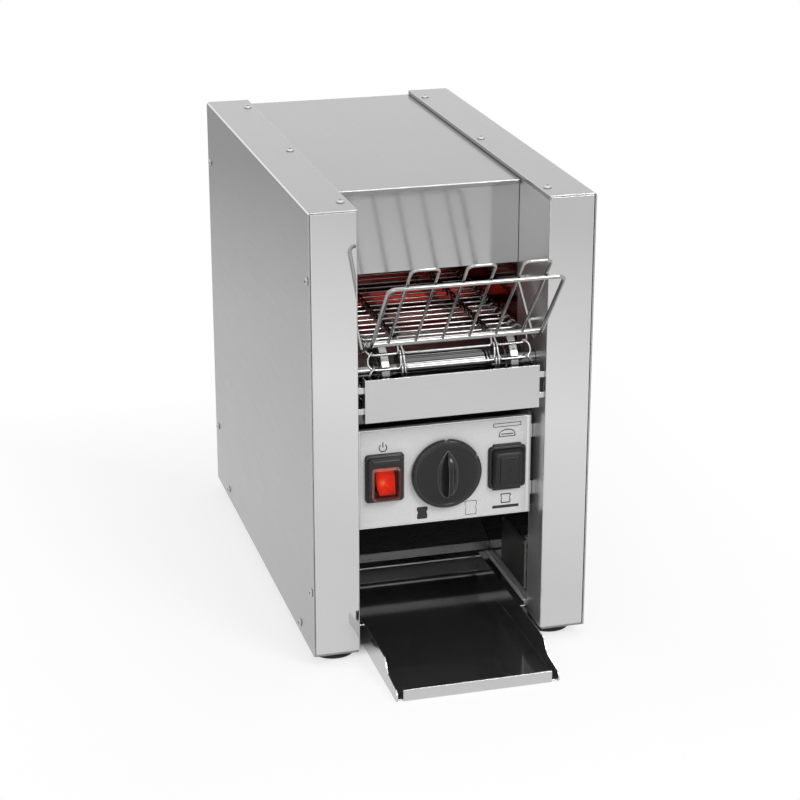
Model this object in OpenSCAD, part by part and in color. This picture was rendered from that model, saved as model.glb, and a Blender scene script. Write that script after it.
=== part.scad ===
// Countertop conveyor toaster for one slice across the belt.
// Frame of the pieces: X = 0 on the middle plane, Y = 0 on the column faces and growing
// to the rear, Z = 0 on the underside of the sheet body. place() moves that frame so that
// the origin lies on the counter, under the middle of the whole machine's box.

/* [Body] */
// Width over the side covers
body_w = 240; // [236:1:270]
// Depth from the column faces to the rear panel
body_d = 420; // [414:1:450]
// Height of the sheet body without its feet
body_h = 385; // [380:1:410]
// Width of each front column
col_w = 40; // [38:1:44]
// Thickness of the outer sheets
sheet = 1.2; // [0.8:0.1:1.5]
// Outer radius of the sheet bends
bend_r = 2.2; // [1.8:0.1:3]
// Depth of the throat between the columns above the guard
throat_d = 77; // [72:1:84]
// Depth of the column returns beside the control panel
low_return_d = 36; // [34:1:38]
// Width of the column flanges that the side covers are screwed to
screw_flange = 14; // [12:0.5:18]
// Height of the top flanges over the top panel
flange_step = 4; // [3:0.5:6]
// Thickness of the top panel
top_t = 1; // [0.8:0.1:1.5]
// How far the top panel reaches forward of the front plate
top_nose = 4; // [3:0.5:6]
// Depth of the top panel's turned-down front edge
top_hem = 3; // [2:0.5:4]

/* [Chassis] */
// Thickness of the chassis sides and the base plate
chassis_t = 1.5; // [1:0.1:2]
// Width of the chassis flanges
chassis_flange = 15; // [13:0.5:18]
// Depth of the opening cut in the base plate for the exit bay
bay_cut_d = 160; // [158:1:180]
// Height of the turned-up edges of the base plate
base_edge_h = 18; // [16:0.5:22]
// Seat clearance between neighbouring sheets
seat = 0.3; // [0.2:0.05:0.4]
// Radial clearance of screws in their holes
screw_fit = 0.1; // [0.08:0.01:0.15]
// Radial running clearance of shafts in their bushes
run_fit = 0.05; // [0.03:0.01:0.08]

/* [Feet] */
// Height of the feet
foot_h = 10; // [8:0.5:14]
// Radius of the feet at the counter
foot_r = 19; // [15:0.5:20]
// Distance of the foot centres from the body's sides
foot_in_x = 23; // [22:0.5:26]
// Distance of the foot centres from the front and the rear
foot_in_y = 30; // [24:1:40]

/* [Screws] */
// Radius of the cover screw shanks
screw_r = 1.9; // [1.5:0.1:2.1]
// Radius of the dome heads
head_r = 3.6; // [3:0.1:4.2]
// Height of the dome heads
head_h = 2; // [1.5:0.1:2.5]
// Length of the screw shanks
screw_l = 8; // [7:0.5:9]
// Distance of the rear screws from the rear
rear_screw_in = 12; // [10:0.5:14]
// Distance of the front screws from the column faces
front_screw_in = 6; // [5:0.5:8]
// Height of the screws at the base plate's edges
base_screw_z = 9.5; // [8:0.5:12]
// Distance of the top screws from the body's sides
top_screw_in = 33; // [32:0.5:34]

/* [Belt] */
// Distance from strand to strand of the wire belt
belt_pitch = 12.7; // [12.4:0.1:12.9]
// Teeth of each belt sprocket
belt_teeth = 12; // [12:1:12]
// Strand spacings between the two shafts
belt_spans = 24; // [23:1:24]
// Radius of the belt wire
wire_r = 1; // [0.8:0.1:1.1]
// Clearance from the belt's edges to the throat walls
belt_gap = 9.5; // [9:0.5:12]
// Distance of the belt shafts from the body's top edge
belt_drop = 146; // [144:0.5:147]
// Distance of the front shaft from the column faces
belt_y = 31; // [31:0.5:34]
// Clearance between the hooked strands of the belt
link_gap = 0.3; // [0.2:0.05:0.4]
// Distance of the first hook joints from the middle
link_x1 = 13; // [10:0.5:16]
// Distance of the second hook joints from the middle
link_x2 = 40; // [36:0.5:44]
// Width of the belt sprockets
wheel_w = 7; // [6:0.5:8]
// Distance of the belt sprockets from the middle
wheel_x = 55; // [52:0.5:58]
// Clearance between the sprockets' tooth tips and the strands
tip_gap = 0.15; // [0.1:0.05:0.2]
// Depth of the notches between the sprockets' teeth
notch_depth = 1; // [0.8:0.1:1.2]
// Radius of the belt shafts
shaft_r = 5; // [4:0.5:6]
// Radius of the roller on the front shaft
roller_r = 12; // [10:0.5:14]
// Width of the rails that carry the upper run
rail_t = 1.5; // [1.2:0.1:2]
// Height of the rails that carry the upper run
rail_h = 8; // [6:0.5:9]
// Distance of the carrying rails from the middle
rail_x = 28; // [22:0.5:30]

/* [Drive] */
// Pitch of the drive chain
chain_pitch = 6.35; // [6.2:0.05:6.4]
// Teeth of both chain sprockets
chain_teeth = 16; // [16:1:16]
// Chain pitches between the two sprockets
chain_spans = 34; // [33:1:35]
// Slope of the chain down to the motor
chain_slope = 25; // [24:0.5:26]
// Radius of the chain rollers
chain_roller_r = 1.65; // [1.5:0.05:1.7]
// Width of the chain sprockets
chain_wheel_w = 2.6; // [2.2:0.1:3]
// Distance of the chain from the chassis side
chain_out = 15; // [13:0.5:17]
// Radius of the gear motor's output shaft
motor_shaft_r = 4; // [3:0.5:5]
// Side of the square gearbox
gearbox_w = 56; // [50:1:60]
// Length of the gearbox
gearbox_l = 26; // [22:1:30]
// Radius of the motor
motor_r = 27; // [24:1:28]
// Length of the motor
motor_l = 60; // [50:1:66]

/* [Toasting chamber] */
// Height of the tunnel over the belt
tunnel_h = 44; // [42:0.5:46]
// Radius of the quartz heating tubes
tube_r = 5; // [4:0.5:5.5]
// Upper heating tubes
upper_tubes = 4; // [3:1:4]
// Lower heating tubes
lower_tubes = 4; // [3:1:4]
// Spacing of the heating tubes
tube_step = 58; // [54:1:60]
// Distance of the first heating tubes behind the throat plate
tube_in = 6.8; // [6.5:0.1:8]
// Height of the upper tubes over the tunnel
upper_tube_rise = 14; // [12:0.5:18]
// Height of the reflectors beyond the tubes
reflector_gap = 16; // [14:0.5:18]
// Length of the ceramic tube ends
ceramic_l = 16; // [12:0.5:20]
// Radial wall of the ceramic tube ends
ceramic_wall = 2.5; // [2:0.1:3]
// Thickness of the insulating blanket
blanket_t = 10; // [8:0.5:12]
// Width of the sheet edges that hold the reflectors
reflector_edge = 8; // [6:0.5:9]

/* [Loading rack] */
// Distance of the bottom bar in front of the column faces
rack_bar_y = 5; // [4:0.5:7]
// Height of the bottom bar over the belt shafts
rack_bar_rise = 35; // [34:0.5:37]
// Lean of the rack from upright
rack_lean = 40.6; // [36:0.2:44]
// Radius of the bottom bar
rack_bar_r = 2.5; // [2:0.1:2.8]
// Radius of the upper rail
rack_rail_r = 1.9; // [1.6:0.1:2.2]
// Radius of the hoops and arms
rack_wire_r = 1.5; // [1.2:0.1:1.6]
// Distance of the upper rail from the bar
rack_rail_up = 88; // [80:1:94]
// Height of the hoops along the rack
rack_hoop_h = 108; // [102:1:116]
// Spacing of the hoop legs
rack_leg_step = 22.6; // [20:0.1:23]
// Hoops side by side
rack_hoops = 3; // [2:1:3]
// Clearance between the bar ends and the throat walls
rack_gap = 6.2; // [5.5:0.1:8]
// Distance of the rack arms from the throat walls
rack_arm_in = 6.8; // [6.4:0.1:7]
// Depth of the rack pivot behind the column faces
rack_pivot_y = 58; // [55:0.5:62]
// Height of the rack pivot over the bottom bar
rack_pivot_rise = 27; // [25:0.5:29]
// Bend radius of the rack's wires
rack_bend = 4.5; // [4:0.1:6]

/* [Guard] */
// Distance of the guard plate's lower edge from the belt shafts
guard_drop = 34; // [32:0.5:35]
// Height of the guard plate
guard_h = 37; // [34:0.5:38]
// Clearance beside the guard plate
guard_gap = 5.5; // [5:0.1:7]
// Lift that frees the guard plate
guard_lift = 8; // [6:0.5:9]
// Depth of the guard plate's side edges
guard_edge = 9; // [8:0.5:10]
// Width of the guard plate's lugs
lug_w = 5; // [4:0.5:6]

/* [Control panel] */
// Distance of the panel behind the column faces
panel_y = 20; // [18:0.5:21]
// Height of the gap for the crumb tray between the panel and the guard plate
crumb_slot_h = 14; // [13:0.5:15]
// Height of the panel
panel_h = 88; // [86:0.5:88]
// Clearance beside the panel
panel_gap = 5; // [4:0.1:6]
// Depth of the panel's turned edges
panel_edge = 11; // [10:0.5:12]
// Thickness of the printed overlay
label_t = 0.3; // [0.2:0.05:0.5]
// Margin of bare metal beside the overlay on its right
label_margin = 4; // [3:0.5:5]
// Clearance between the speed knob and the switch bezels
knob_gap = 6.5; // [6:0.5:9]
// Thickness of the knob's disc
knob_t = 6; // [5:0.5:7]
// Height of the knob's grip over its disc
knob_grip_h = 11; // [9:0.5:13]
// Distance of the grip's ends from the knob's rim
knob_grip_in = 8.5; // [7:0.5:10]
// Width of the knob's grip
knob_grip_w = 11; // [9:0.5:12]
// Radius of the potentiometer spindle
spindle_r = 3; // [2.5:0.1:3.2]
// Distance of the switches' middles from the panel's sides
switch_in = 21.5; // [20.5:0.1:21.5]
// Width of the switch bezels
bezel_w = 33; // [31:0.5:33]
// Height of the switch bezels
bezel_h = 41.5; // [40:0.5:43]
// Thickness of the switch bezels
bezel_t = 3; // [2.5:0.1:3.5]
// Corner radius of the switch bezels
bezel_r = 3; // [2:0.1:4]
// Width of the switch bodies
switch_w = 21.6; // [21:0.1:22]
// Height of the switch bodies
switch_h = 29.6; // [29:0.1:30]
// Depth of the switch bodies behind the panel
switch_d = 22; // [20:0.5:26]
// Width of the rockers
rocker_w = 14; // [12:0.5:15]
// Length of the rockers
rocker_l = 21; // [20:0.5:22]
// Tilt of a rocker to either side
rocker_tilt = 8; // [6:0.5:9]

/* [Toast tray] */
// Reach of the tray in front of the column faces
tray_reach = 80; // [79:1:90]
// Clearance beside the tray in the exit bay
tray_gap = 10; // [9:0.5:12]
// Thickness of the tray sheet
tray_t = 1; // [0.8:0.1:1.2]
// Height of the tray's sides
tray_h = 22.5; // [21:0.5:24]
// Height of the tray's sides at the nose
tray_nose_h = 12; // [10:0.5:14]
// Length of the low nose of the tray's sides
tray_nose_l = 28; // [24:0.5:32]
// Height of the front lip
tray_lip_h = 10; // [8:0.5:11]
// Distance of the front lip's ends from the tray's sides
tray_lip_in = 6; // [5:0.5:8]
// Width of the tray's runner flanges
tray_flange = 5; // [4:0.5:6]
// Start of the runner flanges behind the column faces
tray_flange_y = 24; // [22:1:26]
// Clearance under the tray
tray_clear = 0.5; // [0.4:0.1:0.8]

/* [Chute] */
// Distance of the chute's lip behind the column faces
chute_y = 145; // [142:1:148]
// Height of the chute's lip
chute_z = 22; // [21:0.5:24]
// Slope of the chute
chute_slope = 30; // [29:0.5:31]
// Inner radius of the chute's bend up to the rear guide
chute_bend = 30; // [28:1:40]
// Clearance between the rear guide and the rear panel
chute_rear = 6; // [5:0.5:8]
// Height of the chute's turned-down lip
chute_lip = 8; // [7:0.5:9]

/* [Crumb tray] */
// Clearance over and under the crumb tray
crumb_clear = 1.2; // [1:0.1:1.4]
// Distance of the crumb tray's front behind the column faces
crumb_y = 30; // [26:1:34]
// Clearance beside the crumb tray
crumb_gap = 1.5; // [1.2:0.1:2]

/* [Cooling and supply] */
// Side of the square cooling fan
fan_w = 80; // [76:1:84]
// Depth of the cooling fan
fan_d = 25; // [20:1:28]
// Height of the fan's middle
fan_z = 62; // [58:1:66]
// Blades of the cooling fan
fan_blades = 7; // [5:1:9]
// Bore radius of the supply cord's gland
gland_bore_r = 4.25; // [3.5:0.05:4.5]
// Radius of the gland's cap
gland_r = 11; // [10:0.5:12]
// Length of the gland outside the rear panel
gland_out = 20; // [18:1:24]
// Distance of the gland from the middle
gland_x = 60; // [57:0.5:62]
// Height of the gland
gland_z = 40; // [34:1:46]
// Width of the terminal block
terminal_w = 20; // [18:1:22]
// Length of the terminal block
terminal_l = 60; // [54:1:64]
// Height of the terminal block
terminal_h = 16; // [14:1:18]
// Distance of the terminal block's front from the rear panel's outside
terminal_in = 90; // [86:1:94]
// Length of the speed board
board_l = 78; // [74:1:80]
// Distance of the speed board's rear end from the chute's lip
board_in = 11; // [10:1:14]
// Distance of the speed board from the exit bay's left wall
board_side = 6; // [5:0.5:8]
// Distance of the speed board from the middle plane
board_mid = 10; // [9:0.5:14]
// Thickness of the speed board
board_t = 1.6; // [1.4:0.1:1.8]
// Length of the data plate
plate_l = 64; // [58:1:68]
// Height of the data plate
plate_h = 46; // [40:1:50]
// Height of the data plate's lower edge
plate_z = 20; // [18:1:24]
// Thickness of the data plate
plate_t = 0.8; // [0.5:0.1:1]

/* [Hidden] */

$fn = 48;
eps = 0.01;
open_x = body_w / 2 - col_w;
belt_z = body_h - belt_drop;
guard_z = belt_z - guard_drop;
panel_top = guard_z - crumb_slot_h;
panel_z = panel_top - panel_h;
wall_x = open_x + sheet;
chassis_x = wall_x + seat;
cover_x = body_w / 2 - sheet;
side_x = cover_x - seat;
top_z = body_h - flange_step;
floor_z = chassis_t + seat;
rear_y = body_d - sheet;
inner_rear_y = rear_y - seat;
guard_top = guard_z + guard_h;
panel_mid = panel_z + panel_h / 2;

belt_w = 2 * (open_x - belt_gap);
belt_r = belt_pitch * belt_teeth / (2 * PI);
belt_span = belt_pitch * belt_spans;
belt_count = 2 * belt_spans + belt_teeth;
belt_rear_y = belt_y + belt_span;
belt_top = belt_z + belt_r + wire_r;
belt_bottom = belt_z - belt_r - wire_r;
belt_phase = 10;
tunnel_top = belt_top + tunnel_h;
upper_tube_z = tunnel_top + upper_tube_rise;
lower_tube_z = belt_z + 7;
lower_refl_z = lower_tube_z - reflector_gap;
upper_refl_z = upper_tube_z + reflector_gap;
chamber_front = throat_d + sheet + 2 * seat;
chamber_rear = belt_rear_y - shaft_r - 4;

chain_r = chain_pitch * chain_teeth / (2 * PI);
chain_span = chain_pitch * chain_spans;
chain_count = 2 * chain_spans + chain_teeth;
chain_x = chassis_x + chassis_t + chain_out;
motor_y = belt_rear_y - chain_span * cos(chain_slope);
motor_z = belt_z - chain_span * sin(chain_slope);
motor_face = open_x - seat;

rack_z = belt_z + rack_bar_rise;
rack_pivot_z = rack_z + rack_pivot_rise;
rack_low = [14, rack_z - 12];
rack_arm_x = open_x - rack_arm_in;
rack_half = open_x - rack_gap;
rack_reach = rack_bar_y + rack_hoop_h * sin(rack_lean) + rack_wire_r;

guard_x = open_x - guard_gap;
panel_x = open_x - panel_gap;
switch_x = panel_x - switch_in;
knob_r = switch_x - bezel_w / 2 - knob_gap;
knob_grip_l = 2 * (knob_r - knob_grip_in);
board_x = [board_side - open_x, -board_mid];
board_y = [chute_y - board_in - board_l, chute_y - board_in];
crumb_z = panel_top + 2 * crumb_clear;
crumb_top = guard_z - crumb_clear;
crumb_rear = belt_rear_y + 8;
bay_top = panel_top - 2 - sheet;
tray_x = open_x - tray_gap;
tray_z = -foot_h + tray_clear;
tray_rear = chute_y + 4;
chute_rear_y = inner_rear_y - chute_rear;
front_reach = max(tray_reach, rack_reach);
rear_reach = body_d + gland_out;
place_y = (front_reach - rear_reach) / 2;

steel = [0.78, 0.78, 0.77];
polished = [0.85, 0.85, 0.84];
dark_steel = [0.35, 0.35, 0.36];
chrome = [0.9, 0.9, 0.92];
black = [0.07, 0.07, 0.08];

// Rows and positions that several pieces share
side_screw_spots = [[body_d - rear_screw_in, body_h - 56], [body_d - rear_screw_in, 59],
    [body_d - 59, base_screw_z], [50, base_screw_z],
    [front_screw_in, body_h - 57], [front_screw_in, 57]];
top_screw_rows = [27, body_d / 2 - 3, body_d - 34];
first_tube_y = throat_d + sheet + tube_in;
upper_tube_rows = [for (i = [0:upper_tubes - 1]) first_tube_y + i * tube_step];
lower_tube_rows = [for (i = [0:lower_tubes - 1]) first_tube_y + i * tube_step];
foot_spots = [for (x = [-1, 1], y = [foot_in_y, body_d - foot_in_y])
    [x * (body_w / 2 - foot_in_x), y]];
board_spots = [for (x = [board_x[0] + 6, board_x[1] - 6], y = [board_y[0] + 6, board_y[1] - 6])
    [x, y]];

module place() {
    translate([0, place_y, foot_h]) children();
}

// A block between two corners given per axis
module slab(x, y, z) {
    translate([x[0], y[0], z[0]]) cube([x[1] - x[0], y[1] - y[0], z[1] - z[0]]);
}

// A round bar along X between x[0] and x[1]
module bar_x(r, x, y = 0, z = 0) {
    translate([x[0], y, z]) rotate([0, 90, 0]) cylinder(r = r, h = x[1] - x[0]);
}

// A round bar along Y between y[0] and y[1]
module bar_y(r, y, x = 0, z = 0) {
    translate([x, y[0], z]) rotate([-90, 0, 0]) cylinder(r = r, h = y[1] - y[0]);
}

// Children as drawn on the right-hand side, or mirrored to the left
module on_side(s) {
    if (s > 0) {
        children();
    } else {
        mirror([1, 0, 0]) children();
    }
}

module both_sides() {
    for (s = [-1, 1]) on_side(s) children();
}

// Rectangle from the origin whose far corner is rounded
module round_far(w, h, r) {
    square([w - r, h]);
    square([w, h - r]);
    translate([w - r, h - r]) circle(r);
}

// Folded strip: one leg up the right edge, one leg along the top
module fold(w, h, t, r) {
    difference() {
        round_far(w, h, r);
        translate([-1, -1]) round_far(w + 1 - t, h + 1 - t, max(r - t, 0.2));
    }
}

// Rectangle with four round corners, centred
module round_rect(w, h, r) {
    square([w - 2 * r, h], center = true);
    square([w, h - 2 * r], center = true);
    for (x = [-1, 1], y = [-1, 1]) {
        translate([x * (w / 2 - r), y * (h / 2 - r)]) circle(r);
    }
}

// A profile drawn as (Y, Z), extruded along X from x[0] to x[1]
module along_x(x) {
    translate([x[0], 0, 0]) rotate([90, 0, 90]) linear_extrude(x[1] - x[0]) children();
}

// A profile drawn as (X, Z) with its middle on the origin, extruded along Y
module along_y(y) {
    translate([0, y[1], 0]) rotate([90, 0, 0]) linear_extrude(y[1] - y[0]) children();
}

// ---- Loops of strands and chain rollers ----

// Place [y, z] at length s along a loop over two equal wheels; the first wheel's centre
// is the origin and the second lies at y = span
function loop_at(s, r, span) =
    let (half = PI * r, whole = 2 * (span + half), u = (s % whole + whole) % whole)
    u < span ? [u, r]
    : u < span + half ? let (a = (u - span) / r * 180 / PI) [span + r * sin(a), r * cos(a)]
    : u < 2 * span + half ? [2 * span + half - u, -r]
    : let (a = (u - 2 * span - half) / r * 180 / PI) [-r * sin(a), -r * cos(a)];

// Toothed wheel on the X axis; rods of radius rod_r lie over its notches
module toothed_wheel(pitch, teeth, rod_r, w, bore, phase) {
    r = pitch * teeth / (2 * PI);
    difference() {
        bar_x(r - rod_r - tip_gap, [-w / 2, w / 2]);
        bar_x(bore + run_fit, [-w / 2 - 1, w / 2 + 1]);
        for (i = [0:teeth - 1]) rotate([phase + i * 360 / teeth, 0, 0]) {
            bar_x(rod_r + tip_gap + notch_depth, [-w / 2 - 1, w / 2 + 1], 0, r);
        }
    }
}

// ---- Body ----

module side_cover() {
    color(steel) difference() {
        translate([open_x, 0, 0]) {
            along_y([0, body_d]) {
                fold(col_w, body_h, sheet, bend_r);
                translate([0, body_h - flange_step + seat]) {
                    square([sheet, flange_step - seat - eps]);
                }
            }
        }
        for (p = side_screw_spots) {
            bar_x(screw_r + screw_fit, [cover_x - 1, cover_x + sheet + 1], p[0], p[1]);
        }
        for (y = top_screw_rows) {
            translate([body_w / 2 - top_screw_in, y, body_h - sheet - 1]) {
                cylinder(r = screw_r + screw_fit, h = sheet + 2);
            }
        }
    }
}

// Sheet column beside the throat, with the stop pin that the rack's arm rests on
module front_column() {
    lip_z = top_z - top_t - seat;
    color(steel) bar_x(rack_wire_r, [rack_arm_x - 1, wall_x], rack_stop[0], rack_stop[1]);
    color(steel) difference() {
        slab([open_x, side_x], [0, throat_d], [floor_z, body_h - sheet - seat]);
        slab([wall_x, side_x - sheet], [sheet, throat_d + 1], [0, body_h]);
        slab([side_x - sheet - 1, side_x + 1], [screw_flange, throat_d + 1], [0, body_h]);
        slab([open_x - 1, wall_x + 1], [low_return_d, throat_d + 1], [0, guard_z]);
        slab([open_x - 1, wall_x + 1], [sheet, throat_d + 1], [top_z, body_h]);
        slab([open_x - 1, wall_x + 1], [throat_d - top_nose - seat, throat_d + 1],
            [lip_z, body_h]);
        for (x = [open_x, side_x]) {
            translate([x, 0, -1]) front_edge_cut(x < wall_x ? 1 : -1);
        }
        for (z = lug_rows) {
            slab([open_x - 1, wall_x + 1], lug_slot_y, [z - seat, z + lug_w + guard_lift + seat]);
        }
        bar_x(shaft_r + 1, [open_x - 1, wall_x + 1], belt_y, belt_z);
        bar_x(rack_wire_r + run_fit, [open_x - 1, wall_x + 1], rack_pivot_y, rack_pivot_z);
        for (p = side_screw_spots) {
            bar_x(screw_r + screw_fit, [side_x - sheet - 1, side_x + 1], p[0], p[1]);
        }
    }
}

// Where the stop pin touches the rack's arm, 16 mm behind the arm's lowest place
rack_slope = atan2(rack_pivot_z - rack_low[1], rack_pivot_y - rack_low[0]);
rack_stop = [rack_low[0] + 16, rack_low[1] + 16 * tan(rack_slope)
    - (2 * rack_wire_r + run_fit) / cos(rack_slope)];

// What rounds a vertical front edge; s is 1 on the throat side
module front_edge_cut(s) {
    r = bend_r - 1;
    linear_extrude(body_h + 2) difference() {
        translate([s > 0 ? -1 : -r, -1]) square([r + 1, r + 1]);
        translate([s * r, r]) circle(r);
    }
}

lug_rows = [guard_z + 7, guard_top - 12];
lug_y = [3, 3 + sheet];
lug_slot_y = [lug_y[0] - seat, lug_y[1] + seat];

module top_panel() {
    x = open_x + chassis_flange;
    y0 = throat_d - top_nose;
    color(steel) difference() {
        union() {
            slab([-x, x], [y0, body_d], [top_z - top_t, top_z]);
            slab([-open_x + seat, open_x - seat], [y0, y0 + top_t],
                [top_z - top_t - top_hem, top_z]);
        }
        both_sides() for (y = top_screw_rows) {
            translate([body_w / 2 - top_screw_in, y, top_z - top_t - 1]) {
                cylinder(r = screw_r + screw_fit, h = top_t + 2);
            }
        }
    }
}

module front_plate() {
    z1 = top_z - top_t - seat;
    x = open_x - seat;
    color(polished) {
        slab([-x, x], [throat_d, throat_d + sheet], [tunnel_top, z1]);
        slab([-x, x], [throat_d, throat_d + reflector_edge + 4], [z1 - sheet, z1]);
        slab([-x, x], [throat_d, throat_d + reflector_edge], [tunnel_top, tunnel_top + sheet]);
    }
}

module rear_panel() {
    x = side_x;
    z1 = top_z - top_t - seat;
    color(steel) difference() {
        union() {
            slab([-x, x], [rear_y, body_d], [floor_z, z1]);
            both_sides() {
                slab([x - sheet, x], [body_d - rear_screw_in - 8, rear_y + eps],
                    [base_edge_h + 4, z1 - 4]);
            }
        }
        both_sides() for (p = side_screw_spots) {
            bar_x(screw_r + screw_fit, [x - sheet - 1, x + 1], p[0], p[1]);
        }
        // exhaust slots beside the chamber
        for (row = [0:5], s = [-1, 0, 1]) {
            translate([s * 50, rear_y - 1, upper_refl_z - 60 + row * 11]) {
                rotate([-90, 0, 0]) linear_extrude(sheet + 2) round_rect(38, 4.6, 2.29);
            }
        }
        // fan grille
        for (ring = [1:4], i = [0:6 * ring - 1]) {
            a = i * 60 / ring;
            translate([fan_x + 9 * ring * cos(a), rear_y - 1, fan_z + 9 * ring * sin(a)]) {
                rotate([-90, 0, 0]) cylinder(r = 3, h = sheet + 2, $fn = 24);
            }
        }
        bar_y(3, [rear_y - 1, body_d + 1], fan_x, fan_z);
        bar_y(gland_neck_r + seat, [rear_y - 1, body_d + 1], -gland_x, gland_z);
    }
}

fan_x = 8;
gland_neck_r = gland_bore_r + 3.5;

module base_plate() {
    x = side_x;
    color(dark_steel) difference() {
        union() {
            slab([-x, x], [0, inner_rear_y], [0, chassis_t]);
            both_sides() {
                slab([x - sheet, x], [screw_flange + 2, body_d - rear_screw_in - 10],
                    [0, base_edge_h]);
            }
        }
        slab([-chassis_x, chassis_x], [-1, bay_cut_d], [-1, base_edge_h]);
        both_sides() for (p = side_screw_spots) {
            bar_x(screw_r + screw_fit, [x - sheet - 1, x + 1], p[0], p[1]);
        }
        for (p = foot_spots) {
            translate([p[0], p[1], -1]) cylinder(r = screw_r + 0.6 + screw_fit, h = 4);
        }
        // air slots under the electrical parts
        for (i = [-4:4]) {
            translate([i * 15, bay_cut_d + 60, -1]) {
                linear_extrude(chassis_t + 2) round_rect(5, 60, 2.49);
            }
        }
    }
}

module chassis() {
    x = chassis_x;
    t = chassis_t;
    z1 = top_z - top_t - seat;
    y1 = inner_rear_y - 12;
    color(steel) difference() {
        union() {
            slab([x, x + t], [8, y1], [floor_z, z1]);
            slab([x, x + chassis_flange], [screw_flange + 4, y1], [z1 - t, z1]);
            slab([x, x + chassis_flange - 4], [screw_flange + 4, y1], [floor_z, floor_z + t]);
        }
        for (y = [belt_y, belt_rear_y]) bar_x(bush_r + run_fit, [x - 1, x + t + 1], y, belt_z);
        bar_x(motor_shaft_r + 2, [x - 1, x + t + 1], motor_y, motor_z);
        tube_holes([x - 1, x + t + 1]);
        bar_x(rack_wire_r + 1, [x - 1, x + t + 1], rack_pivot_y, rack_pivot_z);
        for (z = lug_rows) {
            slab([x - 1, x + t + 1], [7, lug_y[1] + 6],
                [z - 1, z + lug_w + guard_lift + 1]);
        }
        for (y = top_screw_rows) {
            translate([body_w / 2 - top_screw_in, y, z1 - t - 1]) {
                cylinder(r = screw_r + screw_fit, h = t + 2);
            }
        }
    }
}

// Holes for the heating tubes through an upright wall
module tube_holes(x) {
    for (y = upper_tube_rows) bar_x(tube_r + seat, x, y, upper_tube_z);
    for (y = lower_tube_rows) bar_x(tube_r + seat, x, y, lower_tube_z);
}

module inner_wall() {
    z1 = top_z - top_t - seat;
    y1 = inner_rear_y - 1;
    x = [open_x - 1, wall_x + 1];
    color(polished) difference() {
        slab([open_x, wall_x], [low_return_d + seat, y1], [floor_z, z1]);
        slab(x, [0, chamber_front - seat], [guard_z - seat, body_h]);
        bar_x(shaft_r + 1, x, belt_rear_y, belt_z);
        bar_x(motor_shaft_r + 2, x, motor_y, motor_z);
        tube_holes(x);
    }
}

module feet() {
    color(black) for (p = foot_spots) {
        translate([p[0], p[1], 0]) difference() {
            translate([0, 0, -foot_h]) cylinder(r1 = foot_r, r2 = foot_r - 1.5, h = foot_h);
            translate([0, 0, -foot_h - 1]) cylinder(r = 6, h = 5);
            translate([0, 0, -foot_h]) cylinder(r = screw_r + 0.6 + screw_fit, h = foot_h + 1);
        }
    }
}

module foot_screws() {
    color(chrome) for (p = foot_spots) {
        translate([p[0], p[1], -foot_h]) {
            translate([0, 0, 1.5]) cylinder(r = 5, h = 2.5);
            translate([0, 0, 4]) cylinder(r = screw_r + 0.6, h = foot_h + chassis_t);
        }
    }
}

// Dome-headed screw along Z; the underside of its head is at z = 0
module dome_screw(length) {
    difference() {
        intersection() {
            cylinder(r = head_r, h = head_h);
            translate([0, 0, head_h - dome_r]) sphere(dome_r);
        }
        translate([0, 0, head_h - 1]) cylinder(r = 1.3, h = 2, $fn = 6);
    }
    translate([0, 0, -length]) cylinder(r = screw_r, h = length + eps);
}

dome_r = (head_r * head_r + head_h * head_h) / (2 * head_h) + 0.4;

module side_screws() {
    color(chrome) for (p = side_screw_spots) {
        translate([body_w / 2, p[0], p[1]]) rotate([0, 90, 0]) dome_screw(screw_l);
    }
}

module top_screws() {
    color(chrome) both_sides() for (y = top_screw_rows) {
        translate([body_w / 2 - top_screw_in, y, body_h]) dome_screw(screw_l);
    }
}

// ---- Toasting chamber ----

module tray_fold(y, z, edge) {
    x = open_x - seat;
    slab([-x, x], y, [z, z + sheet]);
    both_sides() slab([x - sheet, x], y, edge);
}

module upper_reflector() {
    z = upper_refl_z;
    color(polished) {
        tray_fold([chamber_front + 4, chamber_rear + 20], z, [z - reflector_edge, z + eps]);
    }
}

module insulation_blanket() {
    z = upper_refl_z + sheet + seat;
    x = open_x - 2;
    color([0.85, 0.83, 0.76]) {
        slab([-x, x], [chamber_front + 6, chamber_rear + 18], [z, z + blanket_t]);
    }
}

module lower_reflector() {
    z = lower_refl_z;
    y = [belt_y + belt_r + 4, belt_rear_y - belt_r - 4];
    color(polished) {
        tray_fold(y, z, [z, z + reflector_edge]);
        for (end = [y[0], y[1] - sheet]) {
            slab([-open_x + seat, open_x - seat], [end, end + sheet], [z, z + 4]);
        }
    }
}

module heating_tubes(rows, z) {
    x = chassis_x + chassis_t + ceramic_l;
    color([0.95, 0.45, 0.3]) for (y = rows) bar_x(tube_r, [-x + 3, x - 3], y, z);
}

module ceramic_tube_ends() {
    x = chassis_x + chassis_t + seat;
    r = tube_r + ceramic_wall;
    color([0.93, 0.91, 0.86]) both_sides() {
        for (y = upper_tube_rows) ceramic_cap(x, r, y, upper_tube_z);
        for (y = lower_tube_rows) ceramic_cap(x, r, y, lower_tube_z);
    }
}

module ceramic_cap(x, r, y, z) {
    difference() {
        bar_x(r, [x, x + ceramic_l], y, z);
        bar_x(tube_r + run_fit, [x - 1, x + ceramic_l - 2.5], y, z);
    }
}

// ---- Belt and its shafts ----

module strand(here, next) {
    way = next - here;
    reach = norm(way) - wire_r - link_gap;
    half = belt_w / 2;
    translate([0, here[0], here[1]]) {
        bar_x(wire_r, [-half + wire_r, half - wire_r]);
        rotate([atan2(way[1], way[0]), 0, 0]) both_sides() {
            for (x = [link_x1, link_x2, half - wire_r]) {
                bar_y(wire_r * 0.92, [0, reach], x);
            }
        }
    }
}

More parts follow.
